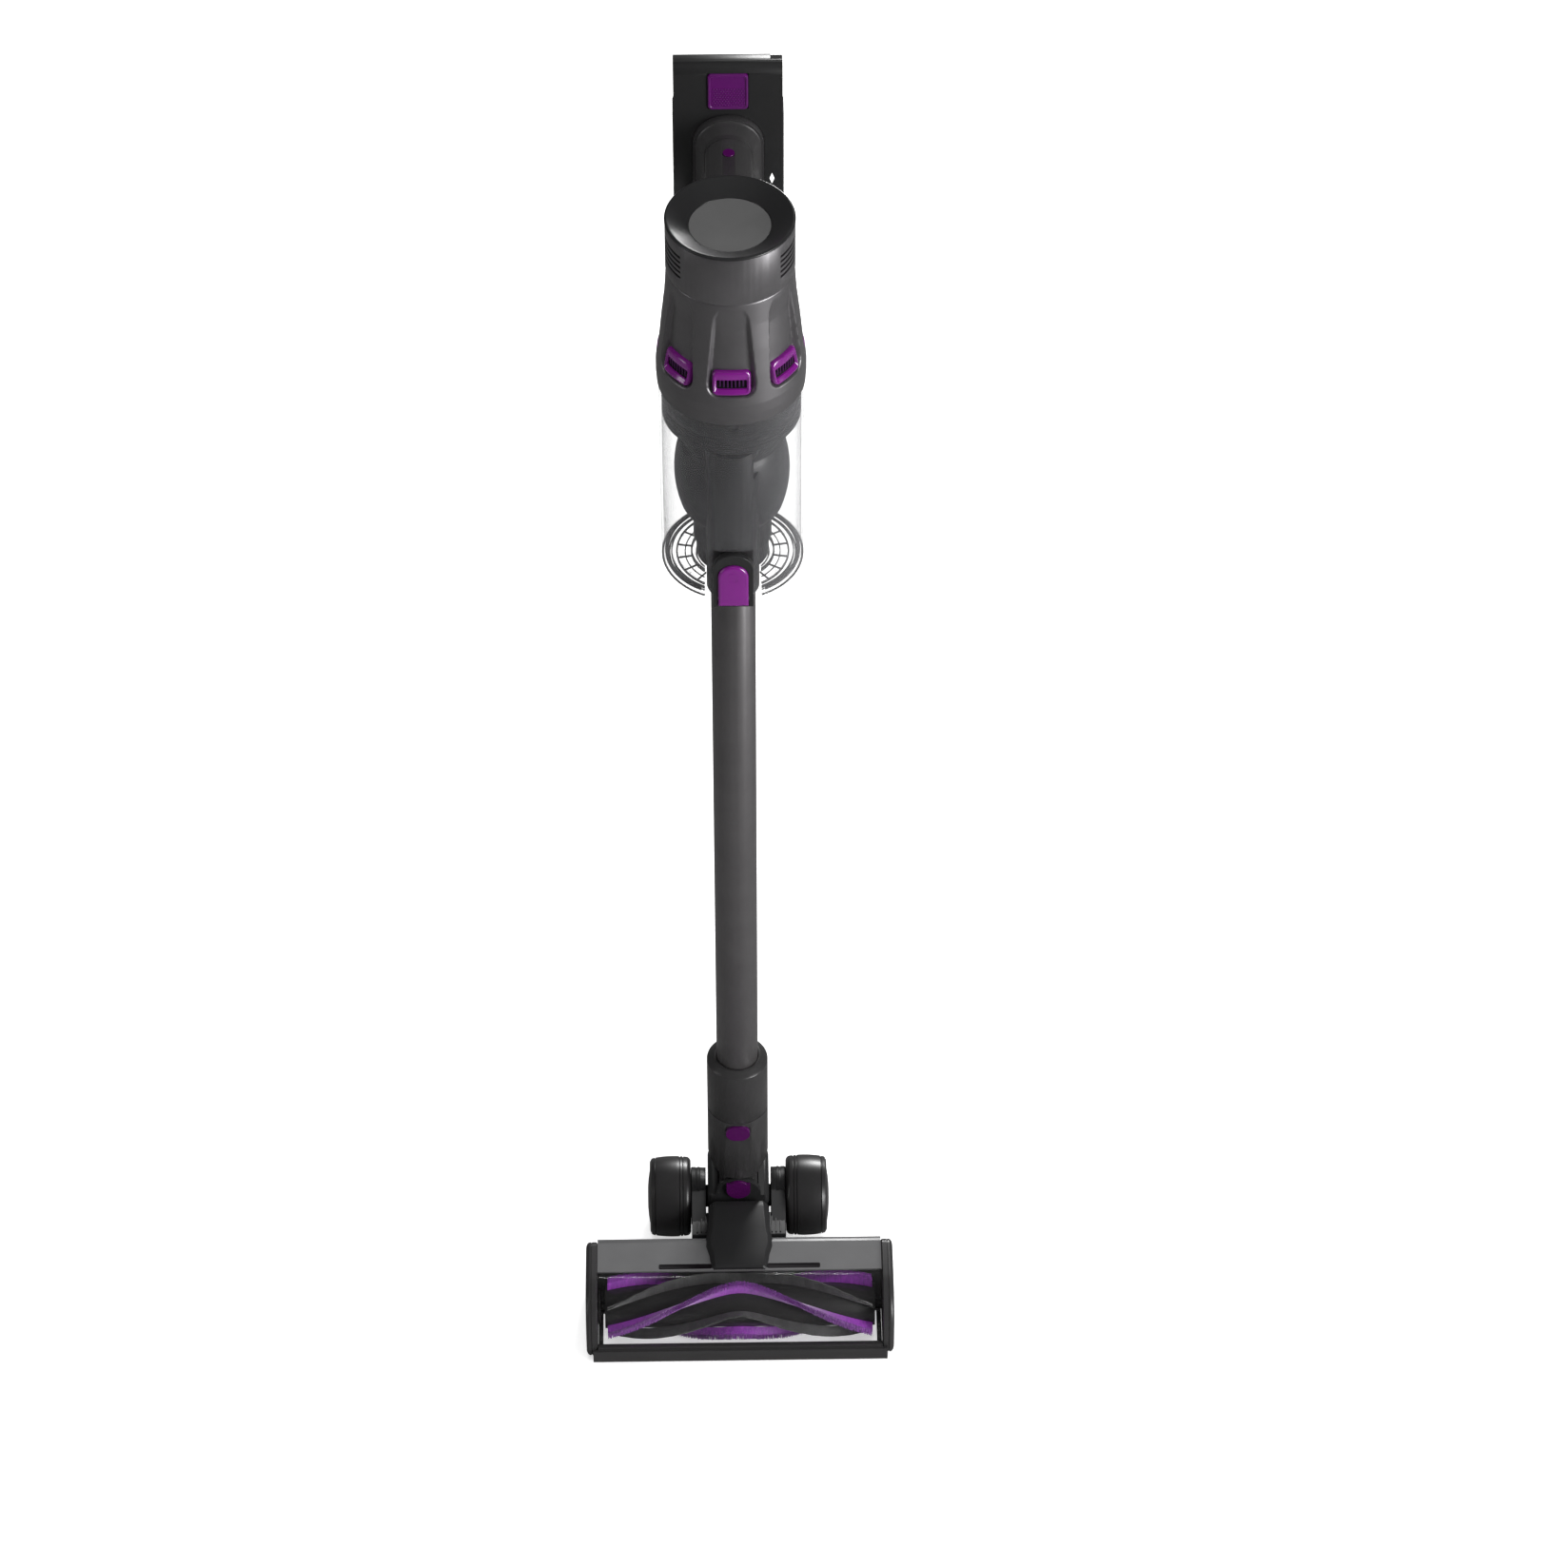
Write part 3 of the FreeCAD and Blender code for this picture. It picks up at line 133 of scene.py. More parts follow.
def moulded(name, colour, rough, grain=0.1, grain_scale=2600, drift=0.05, stretch=(1, 1, 1), **set_to):
    """Moulded plastic, paint or metal: colour and gloss drift a little, over a fine grain."""
    material, tree, shader, place = node_tree(name)
    clouds = noise(tree, place, CLOUD_SCALE)
    dark = [c * (1 - drift) for c in colour]
    light = [c * (1 + drift) for c in colour]
    tree.links.new(between(tree, clouds, dark, light), shader.inputs["Base Color"])
    handling = noise(tree, place, HANDLING_SCALE, detail=5)
    tree.links.new(ranged(tree, handling, rough - 0.015, rough + 0.02), shader.inputs["Roughness"])
    bump = tree.nodes.new("ShaderNodeBump")
    bump.inputs["Strength"].default_value = grain
    bump.inputs["Distance"].default_value = 0.0002
    tree.links.new(noise(tree, place, grain_scale, stretch=stretch), bump.inputs["Height"])
    tree.links.new(bump.outputs["Normal"], shader.inputs["Normal"])
    for socket, value in set_to.items():
        shader.inputs[socket.replace("_", " ")].default_value = value
    return material


def clear(name, tint, faint, dense, sharpness, rough=0.05):
    """Thin clear plastic: nearly see-through face on, and closing up towards its edges."""
    material, tree, shader, place = node_tree(name)
    clouds = noise(tree, place, 30)
    dark = [c * 0.9 for c in tint]
    tree.links.new(between(tree, clouds, dark, tint), shader.inputs["Base Color"])
    handling = noise(tree, place, 70, detail=5)
    tree.links.new(ranged(tree, handling, rough, rough + 0.06), shader.inputs["Roughness"])
    facing = tree.nodes.new("ShaderNodeLayerWeight")
    facing.inputs["Blend"].default_value = sharpness
    amount = tree.nodes.new("ShaderNodeMapRange")
    amount.inputs["To Min"].default_value = faint
    amount.inputs["To Max"].default_value = dense
    tree.links.new(facing.outputs["Facing"], amount.inputs["Value"])
    tree.links.new(amount.outputs["Result"], shader.inputs["Alpha"])
    return material


def bristly(name, dark, light, rough, sheen):
    """Fibre: streaked along the tufts, dull, with a soft sheen."""
    material, tree, shader, place = node_tree(name)
    strands = noise(tree, place, 900, detail=4, stretch=(1, 0.25, 0.25))
    tree.links.new(between(tree, strands, dark, light), shader.inputs["Base Color"])
    tree.links.new(ranged(tree, strands, rough - 0.08, rough + 0.08), shader.inputs["Roughness"])
    bump = tree.nodes.new("ShaderNodeBump")
    bump.inputs["Strength"].default_value = 0.5
    bump.inputs["Distance"].default_value = 0.0003
    tree.links.new(strands, bump.inputs["Height"])
    tree.links.new(bump.outputs["Normal"], shader.inputs["Normal"])
    shader.inputs["Sheen Weight"].default_value = sheen
    return material


def circuit(name):
    """Green laminate crossed by copper tracks."""
    material, tree, shader, place = node_tree(name)
    tracks = tree.nodes.new("ShaderNodeTexBrick")
    tracks.inputs["Scale"].default_value = 160
    tracks.inputs["Color1"].default_value = (0.01, 0.1, 0.035, 1)
    tracks.inputs["Color2"].default_value = (0.012, 0.14, 0.05, 1)
    tracks.inputs["Mortar"].default_value = (0.22, 0.3, 0.1, 1)
    tree.links.new(place, tracks.inputs["Vector"])
    tree.links.new(tracks.outputs["Color"], shader.inputs["Base Color"])
    tree.links.new(ranged(tree, noise(tree, place, 300), 0.35, 0.5), shader.inputs["Roughness"])
    return material


FINISH = {
    "gunmetal_shell": moulded("satin_gunmetal", (0.135, 0.131, 0.136), 0.4, Metallic=0.8),
    "dark_shell": moulded("satin_black", (0.014, 0.014, 0.0145), 0.42, IOR=1.3),
    "gloss_rim": moulded("polished_black", (0.012, 0.012, 0.0125), 0.3, grain=0.03, IOR=1.45),
    "display_glass": moulded("matt_screen", (0.085, 0.085, 0.085), 0.5, grain=0.03, IOR=1.35),
    "circuit_board": circuit("fibreglass_board"),
    "purple_gloss": moulded("glossy_purple", (0.12, 0.005, 0.135), 0.2, grain=0.04,
                            Coat_Weight=0.5, Coat_Roughness=0.12),
    "purple_grip": moulded("satin_purple", (0.062, 0.002, 0.074), 0.34, grain=0.08, IOR=1.4),
    "filter_paper": moulded("filter_media", (0.72, 0.71, 0.68), 0.85, grain=0.6, grain_scale=1500),
    "motor_metal": moulded("brushed_can", (0.5, 0.5, 0.52), 0.35, stretch=(1, 1, 0.05), Metallic=1.0),
    "fan_metal": moulded("machined_metal", (0.6, 0.6, 0.62), 0.28, Metallic=1.0),
    "core_plastic": moulded("cyclone_plastic", (0.012, 0.0115, 0.0125), 0.36, IOR=1.3),
    "clear_plastic": clear("clear_bin", (0.24, 0.24, 0.25), 0.0, 0.64, 0.16),
    "seal_rubber": moulded("soft_rubber", (0.03, 0.03, 0.03), 0.7, grain=0.3, IOR=1.35),
    "steel_pin": moulded("ground_steel", (0.5, 0.5, 0.51), 0.32, stretch=(0.06, 1, 1), Metallic=1.0),
    "battery_shell": moulded("battery_plastic", (0.0125, 0.0125, 0.0128), 0.4, grain=0.2, IOR=1.3),
    "cell_wrap": moulded("cell_sleeve", (0.05, 0.17, 0.32), 0.3, grain=0.05),
    "lens_white": moulded("light_lens", (0.9, 0.9, 0.9), 0.3, grain=0.02, Emission_Strength=0.6,
                          Emission_Color=(1, 1, 1, 1)),
    "wand_paint": moulded("anodised_tube", (0.135, 0.13, 0.133), 0.4, grain=0.1,
                          stretch=(1, 1, 0.04), Metallic=0.8),
    "contact_plastic": moulded("contact_black", (0.04, 0.04, 0.04), 0.45),
    "cable_sleeve": moulded("lead_sleeve", (0.02, 0.02, 0.02), 0.6),
    "elbow_plastic": moulded("satin_charcoal", (0.022, 0.0215, 0.022), 0.32, IOR=1.42),
    "wheel_plastic": moulded("wheel_black", (0.015, 0.0145, 0.015), 0.3, grain=0.03, IOR=1.5),
    "tyre_rubber": moulded("wheel_rubber", (0.014, 0.0135, 0.014), 0.33, grain=0.04, IOR=1.5),
    "head_grey": moulded("satin_grey", (0.1, 0.1, 0.102), 0.34, IOR=1.45),
    "window_clear": clear("clear_window", (0.12, 0.12, 0.122), 0.0, 0.5, 0.1),
    "bristle_purple": bristly("purple_bristle", (0.13, 0.004, 0.21), (0.24, 0.02, 0.36), 0.6, 0.4),
    "bristle_black": bristly("black_bristle", (0.012, 0.012, 0.012), (0.03, 0.03, 0.03), 0.7, 0.2),
}
SLOT_OF = {part["node"]: part["material_slot"] for part in frame["record"]["subparts"]}
HANDLE = moulded("handle_gunmetal", (0.02, 0.0195, 0.02), 0.36, grain=0.03, IOR=1.45)
DEEP_PURPLE = moulded("deep_purple", (0.045, 0.002, 0.05), 0.24, grain=0.04, IOR=1.5)
# painted shade: a nearly opaque dark grey for the lid's clear rings, standing in for the dark outlines that
# refraction gives them
LID_RING_SHADE = clear("lid_rings", (0.03, 0.03, 0.03), 0.75, 0.98, 0.4)
# painted shade: near-black for the floors of slots, the roof's slots and the gaps between the louvres
PAINTED_GAP_SHADE = moulded("near_black_gap_shade", (0.004, 0.003, 0.004), 0.6, IOR=1.2)
# painted shade: a darker copy of the glossy purple for the vent teeth down in their slots
SHADED_TOOTH_PURPLE = moulded("tooth_shade_purple", (0.03, 0.003, 0.04), 0.4, IOR=1.35)


# ---------------------------------------------------------------- mesh building

def soften(points, reach, steps=4):
    """The same closed outline with each corner eased over `reach` of the sides that meet there."""
    points = [Vector(p) for p in points]
    eased = []
    for index, corner in enumerate(points):
        before, after = points[index - 1], points[(index + 1) % len(points)]
        first = corner + (before - corner).normalized() * min(reach, (before - corner).length * 0.45)
        last = corner + (after - corner).normalized() * min(reach, (after - corner).length * 0.45)
        for step in range(steps + 1):
            t = step / steps
            eased.append(first * (1 - t) ** 2 + corner * 2 * t * (1 - t) + last * t ** 2)
    return eased


def skin(mesh, rings, wrap=False):
    """Faces between one ring of points and the next; the ends are joined up or capped."""
    rows = [[mesh.verts.new(point) for point in ring] for ring in rings]
    count = len(rows[0])
    for first, second in zip(rows, rows[1:] + (rows[:1] if wrap else [])):
        for index in range(count):
            after = (index + 1) % count
            mesh.faces.new((first[index], first[after], second[after], second[index]))
    if not wrap:
        mesh.faces.new(rows[0][::-1])
        mesh.faces.new(rows[-1])
    return mesh


def lathe(mesh, profile, centre, axis="Z", steps=160):
    """Turn a closed outline of (radius, place along the axis) about an axis."""
    rings = []
    for step in range(steps):
        turn = math.tau * step / steps
        ring = []
        for radius, along in profile:
            across = centre[0] + math.cos(turn) * radius, centre[1] + math.sin(turn) * radius
            ring.append((*across, along) if axis == "Z" else (along, *across))
        rings.append(ring)
    return skin(mesh, rings, wrap=True)


def finish(name, mesh, body, slot, materials=None, stands_for=(), crease=40):
    """Close a mesh, move it into the frame's metres and make it a piece that rides on a body."""
    bmesh.ops.remove_doubles(mesh, verts=mesh.verts, dist=0.0005)
    bmesh.ops.recalc_face_normals(mesh, faces=mesh.faces)
    for vertex in mesh.verts:
        vertex.co = vertex.co * METRES + Vector((0, WAND_Y, 0))
    data = bpy.data.meshes.new(name)
    mesh.to_mesh(data)
    mesh.free()
    for polygon in data.polygons:
        polygon.use_smooth = True
    data.set_sharp_from_angle(angle=math.radians(crease))
    for material in materials or [FINISH[slot]]:
        data.materials.append(material)
    piece = bpy.data.objects.new(name, data)
    bpy.context.scene.collection.objects.link(piece)
    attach(piece, body)
    if stands_for:
        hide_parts(*stands_for)
    return piece


def smooth_step(low_end, high_end, value):
    """Nought below one end, one above the other, and an S-curve between them."""
    t = min(1, max(0, (value - low_end) / (high_end - low_end)))
    return t * t * (3 - 2 * t)


def mix(first, second, share):
    """The value at a share of the way from the first to the second."""
    return first + (second - first) * share


def along_line(points, place):
    """The first value of a line of (value, place) points, at a place along it."""
    for (value, start), (next_value, end) in zip(points, points[1:]):
        if place <= end:
            return mix(value, next_value, max(0, (place - start) / (end - start)))
    return points[-1][0]


def rounded_outline(half_width, half_height, corner, arc=6, side=5):
    """A rectangle with rounded corners as a ring of (across, up) points."""
    ring = []
    inner_w, inner_h = half_width - corner, half_height - corner
    centres = [(inner_w, inner_h), (-inner_w, inner_h), (-inner_w, -inner_h), (inner_w, -inner_h)]
    for index, (x, z) in enumerate(centres):
        start = index * math.pi / 2
        for step in range(arc + 1):
            turn = start + math.pi / 2 * step / arc
            ring.append((x + corner * math.cos(turn), z + corner * math.sin(turn)))
        end = ring[-1]
        next_x, next_z = centres[(index + 1) % 4]
        turn = start + math.pi / 2
        target = (next_x + corner * math.cos(turn), next_z + corner * math.sin(turn))
        ring += [(mix(end[0], target[0], s / (side + 1)), mix(end[1], target[1], s / (side + 1)))
                 for s in range(1, side + 1)]
    return ring


def cuboid(mesh, xs, ys, zs, turn=None, chamfer=0.2):
    """A small box with chamfered upright edges, for teeth, ribs and ticks."""
    middle = Vector((sum(xs) / 2, sum(ys) / 2, 0))
    half_x, half_y = abs(xs[1] - xs[0]) / 2, abs(ys[1] - ys[0]) / 2
    cut = min(chamfer, half_x * 0.5, half_y * 0.5)
    ring = [(half_x - cut, -half_y), (half_x, -half_y + cut), (half_x, half_y - cut),
            (half_x - cut, half_y), (-half_x + cut, half_y), (-half_x, half_y - cut),
            (-half_x, -half_y + cut), (-half_x + cut, -half_y)]
    rings = [[middle + Vector((x, y, z)) for x, y in ring] for z in zs]
    if turn:
        rings = [[turn(point) for point in loop] for loop in rings]
    skin(mesh, rings)


def around_unit(degrees):
    """Turns a point in front of the unit to another azimuth about the unit's axis."""
    angle = math.radians(degrees)

    def turn(point):
        x, y = point[0] - UNIT[0], point[1] - UNIT[1]
        return Vector((UNIT[0] + x * math.cos(angle) - y * math.sin(angle),
                       UNIT[1] + x * math.sin(angle) + y * math.cos(angle), point[2]))
    return turn


# ---------------------------------------------------------------- motor housing and vents

housing_low, housing_high = span("motor_housing")
SEAM_Z, BAND_Z = housing_low.z, housing_high.z
BELLY = housing_high.x
HOUSING_LINE = [(BELLY - 0.6, SEAM_Z), (BELLY, SEAM_Z + 9), (BELLY, SEAM_Z + 18),
                (BELLY - 2.2, SEAM_Z + 43), (BELLY - 4.4, SEAM_Z + 64), (BELLY - 6.9, SEAM_Z + 85),
                (BAND_RADIUS - 0.5, BAND_Z)]
VENT_PITCH = 360 / 7
VENTS = [VENT_PITCH * step for step in (-2, -1, 0, 1, 2)]
RECESS_FOOT, RECESS_TOP = SEAM_Z + 24.5, BAND_Z - 4
RECESS_WIDTH = [(17.2, RECESS_FOOT), (18.2, RECESS_FOOT + 12), (13, BAND_Z - 12), (9.5, RECESS_TOP)]
RECESS_DEPTH = [(5.4, RECESS_FOOT), (5.0, RECESS_FOOT + 20), (3.2, BAND_Z - 24), (0, RECESS_TOP)]
RECESS_CORNER = 8
RECESS_WALL = 2.4
VENT_SINK = 5.0          # how far the vents' seats lie under the housing's outer line
DOCK_SLOT = (912, 926)   # the lowest and highest points of the wall dock's slot


def recess(across, z):
    """How deep the long recess is at a distance across from its middle line."""
    half = along_line(RECESS_WIDTH, z)
    side = half - abs(across)
    foot = z - RECESS_FOOT
    if side < RECESS_CORNER and foot < RECESS_CORNER:
        side = RECESS_CORNER - math.hypot(RECESS_CORNER - side, RECESS_CORNER - foot)
        foot = side
    share = smooth_step(0, RECESS_WALL, min(side, foot))
    return along_line(RECESS_DEPTH, z) * share


def housing_radius(angle, z):
    """The housing's outer radius at an azimuth from the front, in degrees."""
    radius = along_line(HOUSING_LINE, z)
    for vent in VENTS:
        apart = (angle - vent + 180) % 360 - 180
        if abs(apart) < 30:
            radius -= recess(math.radians(apart) * radius, z)
    return radius


def motor_housing():
    """The housing's outer shell with its long recesses, and the dock slot at its back."""
    mesh = bmesh.new()
    steps, levels = 480, 150
    heights = [mix(SEAM_Z, BAND_Z, level / levels) for level in range(levels + 1)]
    wall = 4.2
    rings = []
    for step in range(steps):
        angle = 360 * step / steps
        across = math.sin(math.radians(angle)), -math.cos(math.radians(angle))
        outer = [(housing_radius(angle, z), z) for z in heights]
        outer[0] = (outer[0][0] - 0.5, SEAM_Z)
        outer[-1] = (outer[-1][0] - 0.5, BAND_Z)
        inner = [(BAND_RADIUS - wall, BAND_Z), (BAND_RADIUS - wall - 1, SEAM_Z + 60),
                 (BAND_RADIUS - wall, SEAM_Z + 14), (BELLY - wall, SEAM_Z)]
        rings.append([(across[0] * r, UNIT[1] + across[1] * r, z) for r, z in outer + inner])
    skin(mesh, rings, wrap=True)
    slot_frame(mesh, *DOCK_SLOT)
    finish("housing_skin", mesh, "main_unit", "gunmetal_shell", [FINISH["gunmetal_shell"], PAINTED_GAP_SHADE],
           stands_for=["motor_housing"], crease=50)


def slot_frame(mesh, slot_low, slot_high):
    """The wall dock's slot at the back: a floor plate painted near-black as the slot's shade, with a raised
    lip round it.
    """
    middle_z = (slot_low + slot_high) / 2
    half_w, half_h = 11, (slot_high - slot_low) / 2
    lip = 0.5
    stages = [(half_w + 1.4, half_h + 1.4, -1), (half_w + 1.4, half_h + 1.4, lip * 0.6),
              (half_w + 0.9, half_h + 0.9, lip), (half_w + 0.2, half_h + 0.2, lip * 0.6),
              (half_w, half_h, -1.5)]
    rings = []
    for wide, tall, out in stages:
        ring = []
        for x, z in rounded_outline(wide, tall, 2):
            radius = along_line(HOUSING_LINE, middle_z + z) + out
            angle = x / radius
            ring.append((math.sin(angle) * radius, UNIT[1] + math.cos(angle) * radius, middle_z + z))
        rings.append(ring)
    before = set(mesh.faces)
    skin(mesh, rings)
    added = [face for face in mesh.faces if face not in before]
    floor = min(added, key=lambda face: abs(face.calc_center_median().z - middle_z)
                + (0 if len(face.verts) > 4 else 100) + face.calc_center_median().y * 0.01)
    # the slot's floor takes the near-black painted shade
    floor.material_index = 1


def vent_grilles():
    """Five purple louvres at the feet of the recesses, each with a slot floor painted near-black as shade
    and seven teeth in a darker purple as painted shade.
    """
    mesh = bmesh.new()
    low_z, high_z = SEAM_Z + 26.6, SEAM_Z + 45.2
    middle_z = (low_z + high_z) / 2
    half_w, half_h = 13.7, (high_z - low_z) / 2
    slot_w, slot_h, slot_drop = 10.6, 3.5, -1.6
    tooth_pitch = 3
    # half width, half height, corner, how far out, and how far down each outline lies
    stages = [(half_w, half_h, 3.4, -1.5, 0), (half_w, half_h, 3.4, 1.6, 0),
              (half_w - 0.5, half_h - 0.5, 3.2, 2.5, 0), (half_w - 1.6, half_h - 1.5, 2.8, 2.8, 0),
              (slot_w + 0.8, slot_h + 0.9, 1.8, 2.1, slot_drop),
              (slot_w + 0.2, slot_h + 0.2, 1.2, 1.6, slot_drop), (slot_w, slot_h, 1, 0.5, slot_drop)]
    for vent in VENTS:
        turn = around_unit(vent)
        rings = []
        for wide, tall, corner, out, drop in stages:
            ring = []
            for x, z in rounded_outline(wide, tall, corner):
                height = middle_z + z + drop
                bow = 0.9 * (1 - (x / half_w) ** 2)
                radius = along_line(HOUSING_LINE, height) - VENT_SINK + out + 0.12 * (half_h - z)
                angle = x / radius
                ring.append(turn((math.sin(angle) * radius, UNIT[1] - math.cos(angle) * radius,
                                  height + bow)))
            rings.append(ring)
        before = set(mesh.faces)
        skin(mesh, rings)
        # the slot's floor and back take the near-black painted shade
        for face in [f for f in mesh.faces if f not in before and len(f.verts) > 4]:
            face.material_index = 1
        for tooth in range(-3, 4):
            angle = tooth * tooth_pitch / BELLY
            spin = around_unit(vent + math.degrees(angle))
            front = UNIT[1] - along_line(HOUSING_LINE, middle_z) + VENT_SINK
            before = set(mesh.faces)
            cuboid(mesh, (-0.6, 0.6), (front - 2.1, front + 0.4),
                   (middle_z + slot_drop - slot_h - 0.2, middle_z + slot_drop + slot_h + 0.9), spin)
            # the teeth take the darker purple of painted shade
            for face in [f for f in mesh.faces if f not in before]:
                face.material_index = 2
    finish("vent_louvres", mesh, "main_unit", "purple_gloss",
           [FINISH["purple_gloss"], PAINTED_GAP_SHADE, SHADED_TOOTH_PURPLE], stands_for=["vent_grilles"], crease=35)


def top_bezel():
    """The sloping polished ring round the display, with an eased outer rim."""
    bezel_low, bezel_high = span("top_bezel")
    lens_high = span("display_lens")[1]
    rim, out, inner = bezel_high.z, bezel_high.x, lens_high.x + 0.2
    face, depth = lens_high.z + 0.3, bezel_low.z
    profile = [(out, rim - 2.2), (out, rim - 1), (out - 1.1, rim), (out - 2.4, rim - 0.3),
               (inner + 0.5, face + 0.2), (inner, face - 0.3), (inner, face - 2.6),
               (BAND_RADIUS - 3.4, depth), (BAND_RADIUS - 3.4, rim - 2.2)]
    mesh = lathe(bmesh.new(), soften(profile, 0.5), UNIT, steps=240)
    finish("display_bezel", mesh, "main_unit", "gloss_rim", stands_for=["top_bezel"], crease=50)


def louvre_shade_sleeve():
    """A near-black sleeve inside the exhaust band: painted shade that shows between the louvres."""
    outer, bottom, top = BAND_RADIUS - 0.5, BAND_Z + 8, band_high.z - 4
    profile = [(outer, bottom), (outer, top), (outer - 1, top), (outer - 1, bottom)]
    mesh = lathe(bmesh.new(), profile, UNIT, steps=96)
    finish("louvre_shade_sleeve", mesh, "main_unit", "dark_shell", [PAINTED_GAP_SHADE])


# ---------------------------------------------------------------- bin

def cyclone_core():
    """The dark bulb that hangs in the bin, on a straight stem and under a short neck."""
    core_low, core_high = span("cyclone_core")
    wide, top, low_z = core_high.x, core_high.z, core_low.z
    foot, stem, waist, neck, wall = 26.35, 28.4, 33.2, 35.8, 2.4
    bulb = [(foot, low_z), (foot, 735), (stem, 737), (stem, 763.6), (32.6, 764.6), (waist, 767)]
    steps = 12
    for step in range(steps + 1):
        share = step / steps
        height = mix(770, 830, share)
        swell = math.sin(math.pi * (0.1 + 0.76 * share)) ** 0.75
        bulb.append((waist + (wide - waist) * swell, height))
    outside = bulb + [(neck, 833), (neck, top)]
    inside = [(radius - wall, z) for radius, z in reversed(outside)]
    mesh = lathe(bmesh.new(), soften(outside + inside, 1.2, steps=3), UNIT)
    finish("cyclone_bulb", mesh, "main_unit", "core_plastic", stands_for=["cyclone_core"], crease=45)


def seat_band():
    """The dark skirt under the seat ring, stepped by fine rings, just inside the clear wall."""
    ring_low, ring_high = span("bin_seat_ring")
    outer, top = ring_high.x - 0.1, ring_low.z + 9.2
    bottom, wall = 856.5, 1.6
    profile = [(outer - wall, top), (outer - wall, bottom), (outer - 0.4, bottom),
               (outer, bottom + 0.5)]
    for z in (862, 865.5, 869):
        profile += [(outer, z - 0.5), (outer - 0.5, z), (outer, z + 0.5)]
    profile.append((outer, top))
    mesh = lathe(bmesh.new(), profile, UNIT)
    finish("seat_band", mesh, "main_unit", "core_plastic", crease=30)


def release_outline(half_width, low_z, top_z, arc=14, side=8):
    """An upright outline with a half-round top, as a ring of (across, up) points."""
    centre = top_z - half_width
    turns = [math.pi * s / arc for s in range(arc + 1)]
    ring = [(half_width * math.cos(t), centre + half_width * math.sin(t)) for t in turns]
    ring += [(-half_width, mix(centre, low_z, s / side)) for s in range(1, side + 1)]
    ring += [(mix(-half_width, half_width, s / side), low_z) for s in range(1, side + 1)]
    ring += [(half_width, mix(low_z, centre, s / side)) for s in range(1, side)]
    return ring


def wand_release():
    """The purple button over the wand's socket, with a fine ring on its face."""
    button_low, button_high = span("wand_release_button")
    half, front, back = button_high.x, button_low.y, button_high.y
    mesh = bmesh.new()
    stages = [(0, back), (0, front + 1.6), (0.35, front + 0.75), (1.1, front + 0.2), (2.2, front)]
    rings = [[(x, y, z) for x, z in release_outline(half - inset, button_low.z + inset,
                                                    button_high.z - inset)] for inset, y in stages]
    skin(mesh, rings)
    dish = button_high.z - 10.5
    ring = [(4.4, front + 0.4), (4.4, front - 0.02), (4.1, front - 0.12), (3.8, front - 0.02),
            (3.8, front + 0.4)]
    rings = []
    for step in range(48):
        turn = math.tau * step / 48
        rings.append([(r * math.cos(turn), y, dish + r * math.sin(turn)) for r, y in ring])
    skin(mesh, rings, wrap=True)
    finish("release_button", mesh, "wand_release", "purple_gloss",
           stands_for=["wand_release_button"], crease=35)


# ---------------------------------------------------------------- handle and battery

def handle_skirt():
    """The smooth flare from the grip to the plate that holds the battery."""
    grip, foot = (34.6, 46.6, 985), (51, 88, 970)      # width, height and the middle's place up
    plate, arc = span("battery_case")[0].y, 24
    # how far back each section lies, and its share of the way from the grip's shape to the foot's
    stations = [(146, 0), (149, 0.03), (152, 0.1), (154.5, 0.2), (156.6, 0.34), (158.2, 0.5),
                (159.4, 0.66), (160.2, 0.78), (160.9, 0.8), (162.2, 0.86), (164.4, 0.93),
                (165.2, 0.975), (plate + 0.6, 1)]
    mesh = bmesh.new()
    rings = []
    for y, share in stations:
        wide, tall, centre = (mix(a, b, share) for a, b in zip(grip, foot))
        radius, straight = wide / 2, (tall - wide) / 2
        ring = []
        for end in (1, -1):
            for s in range(arc + 1):
                turn = math.pi * s / arc
                ring.append((end * radius * math.cos(turn), y,
                             centre + end * (straight + radius * math.sin(turn))))
        rings.append(ring)
    skin(mesh, rings)
    finish("handle_flare", mesh, "main_unit", "gunmetal_shell", [HANDLE], crease=30)


def grip_pads():
    """The battery's side grips, with rows of small studs."""
    pads_low, pads_high = span("battery_grip_pads")
    rows, columns = 60, 22
    mesh = bmesh.new()
    for side in (-1, 1):
        inner, outer = pads_high.x - 1, pads_high.x
        front_face = []
        for row in range(rows + 1):
            z = mix(pads_low.z, pads_high.z, row / rows)
            line = []
            for column in range(columns + 1):
                y = mix(pads_low.y, pads_high.y, column / columns)
                edge = row in (0, rows) or column in (0, columns)
                stud = (row % 2) * (0.45 + 0.55 * ((column + row // 2) % 2))
                reach = inner + 0.15 if edge else mix(inner + 0.25, outer, stud)
                line.append(mesh.verts.new((side * reach, y, z)))
            front_face.append(line)
        for lower, upper in zip(front_face, front_face[1:]):
            for index in range(columns):
                mesh.faces.new((lower[index], lower[index + 1], upper[index + 1], upper[index]))
        border = front_face[0][:-1] + [line[-1] for line in front_face[:-1]]
        border += front_face[-1][:0:-1] + [line[0] for line in front_face[:0:-1]]
        base = [mesh.verts.new((side * inner, v.co.y, v.co.z)) for v in border]
        for index, vertex in enumerate(border):
            after = (index + 1) % len(border)
            mesh.faces.new((vertex, border[after], base[after], base[index]))
        mesh.faces.new(base)
    finish("ribbed_grips", mesh, "battery", "seal_rubber", stands_for=["battery_grip_pads"], crease=20)


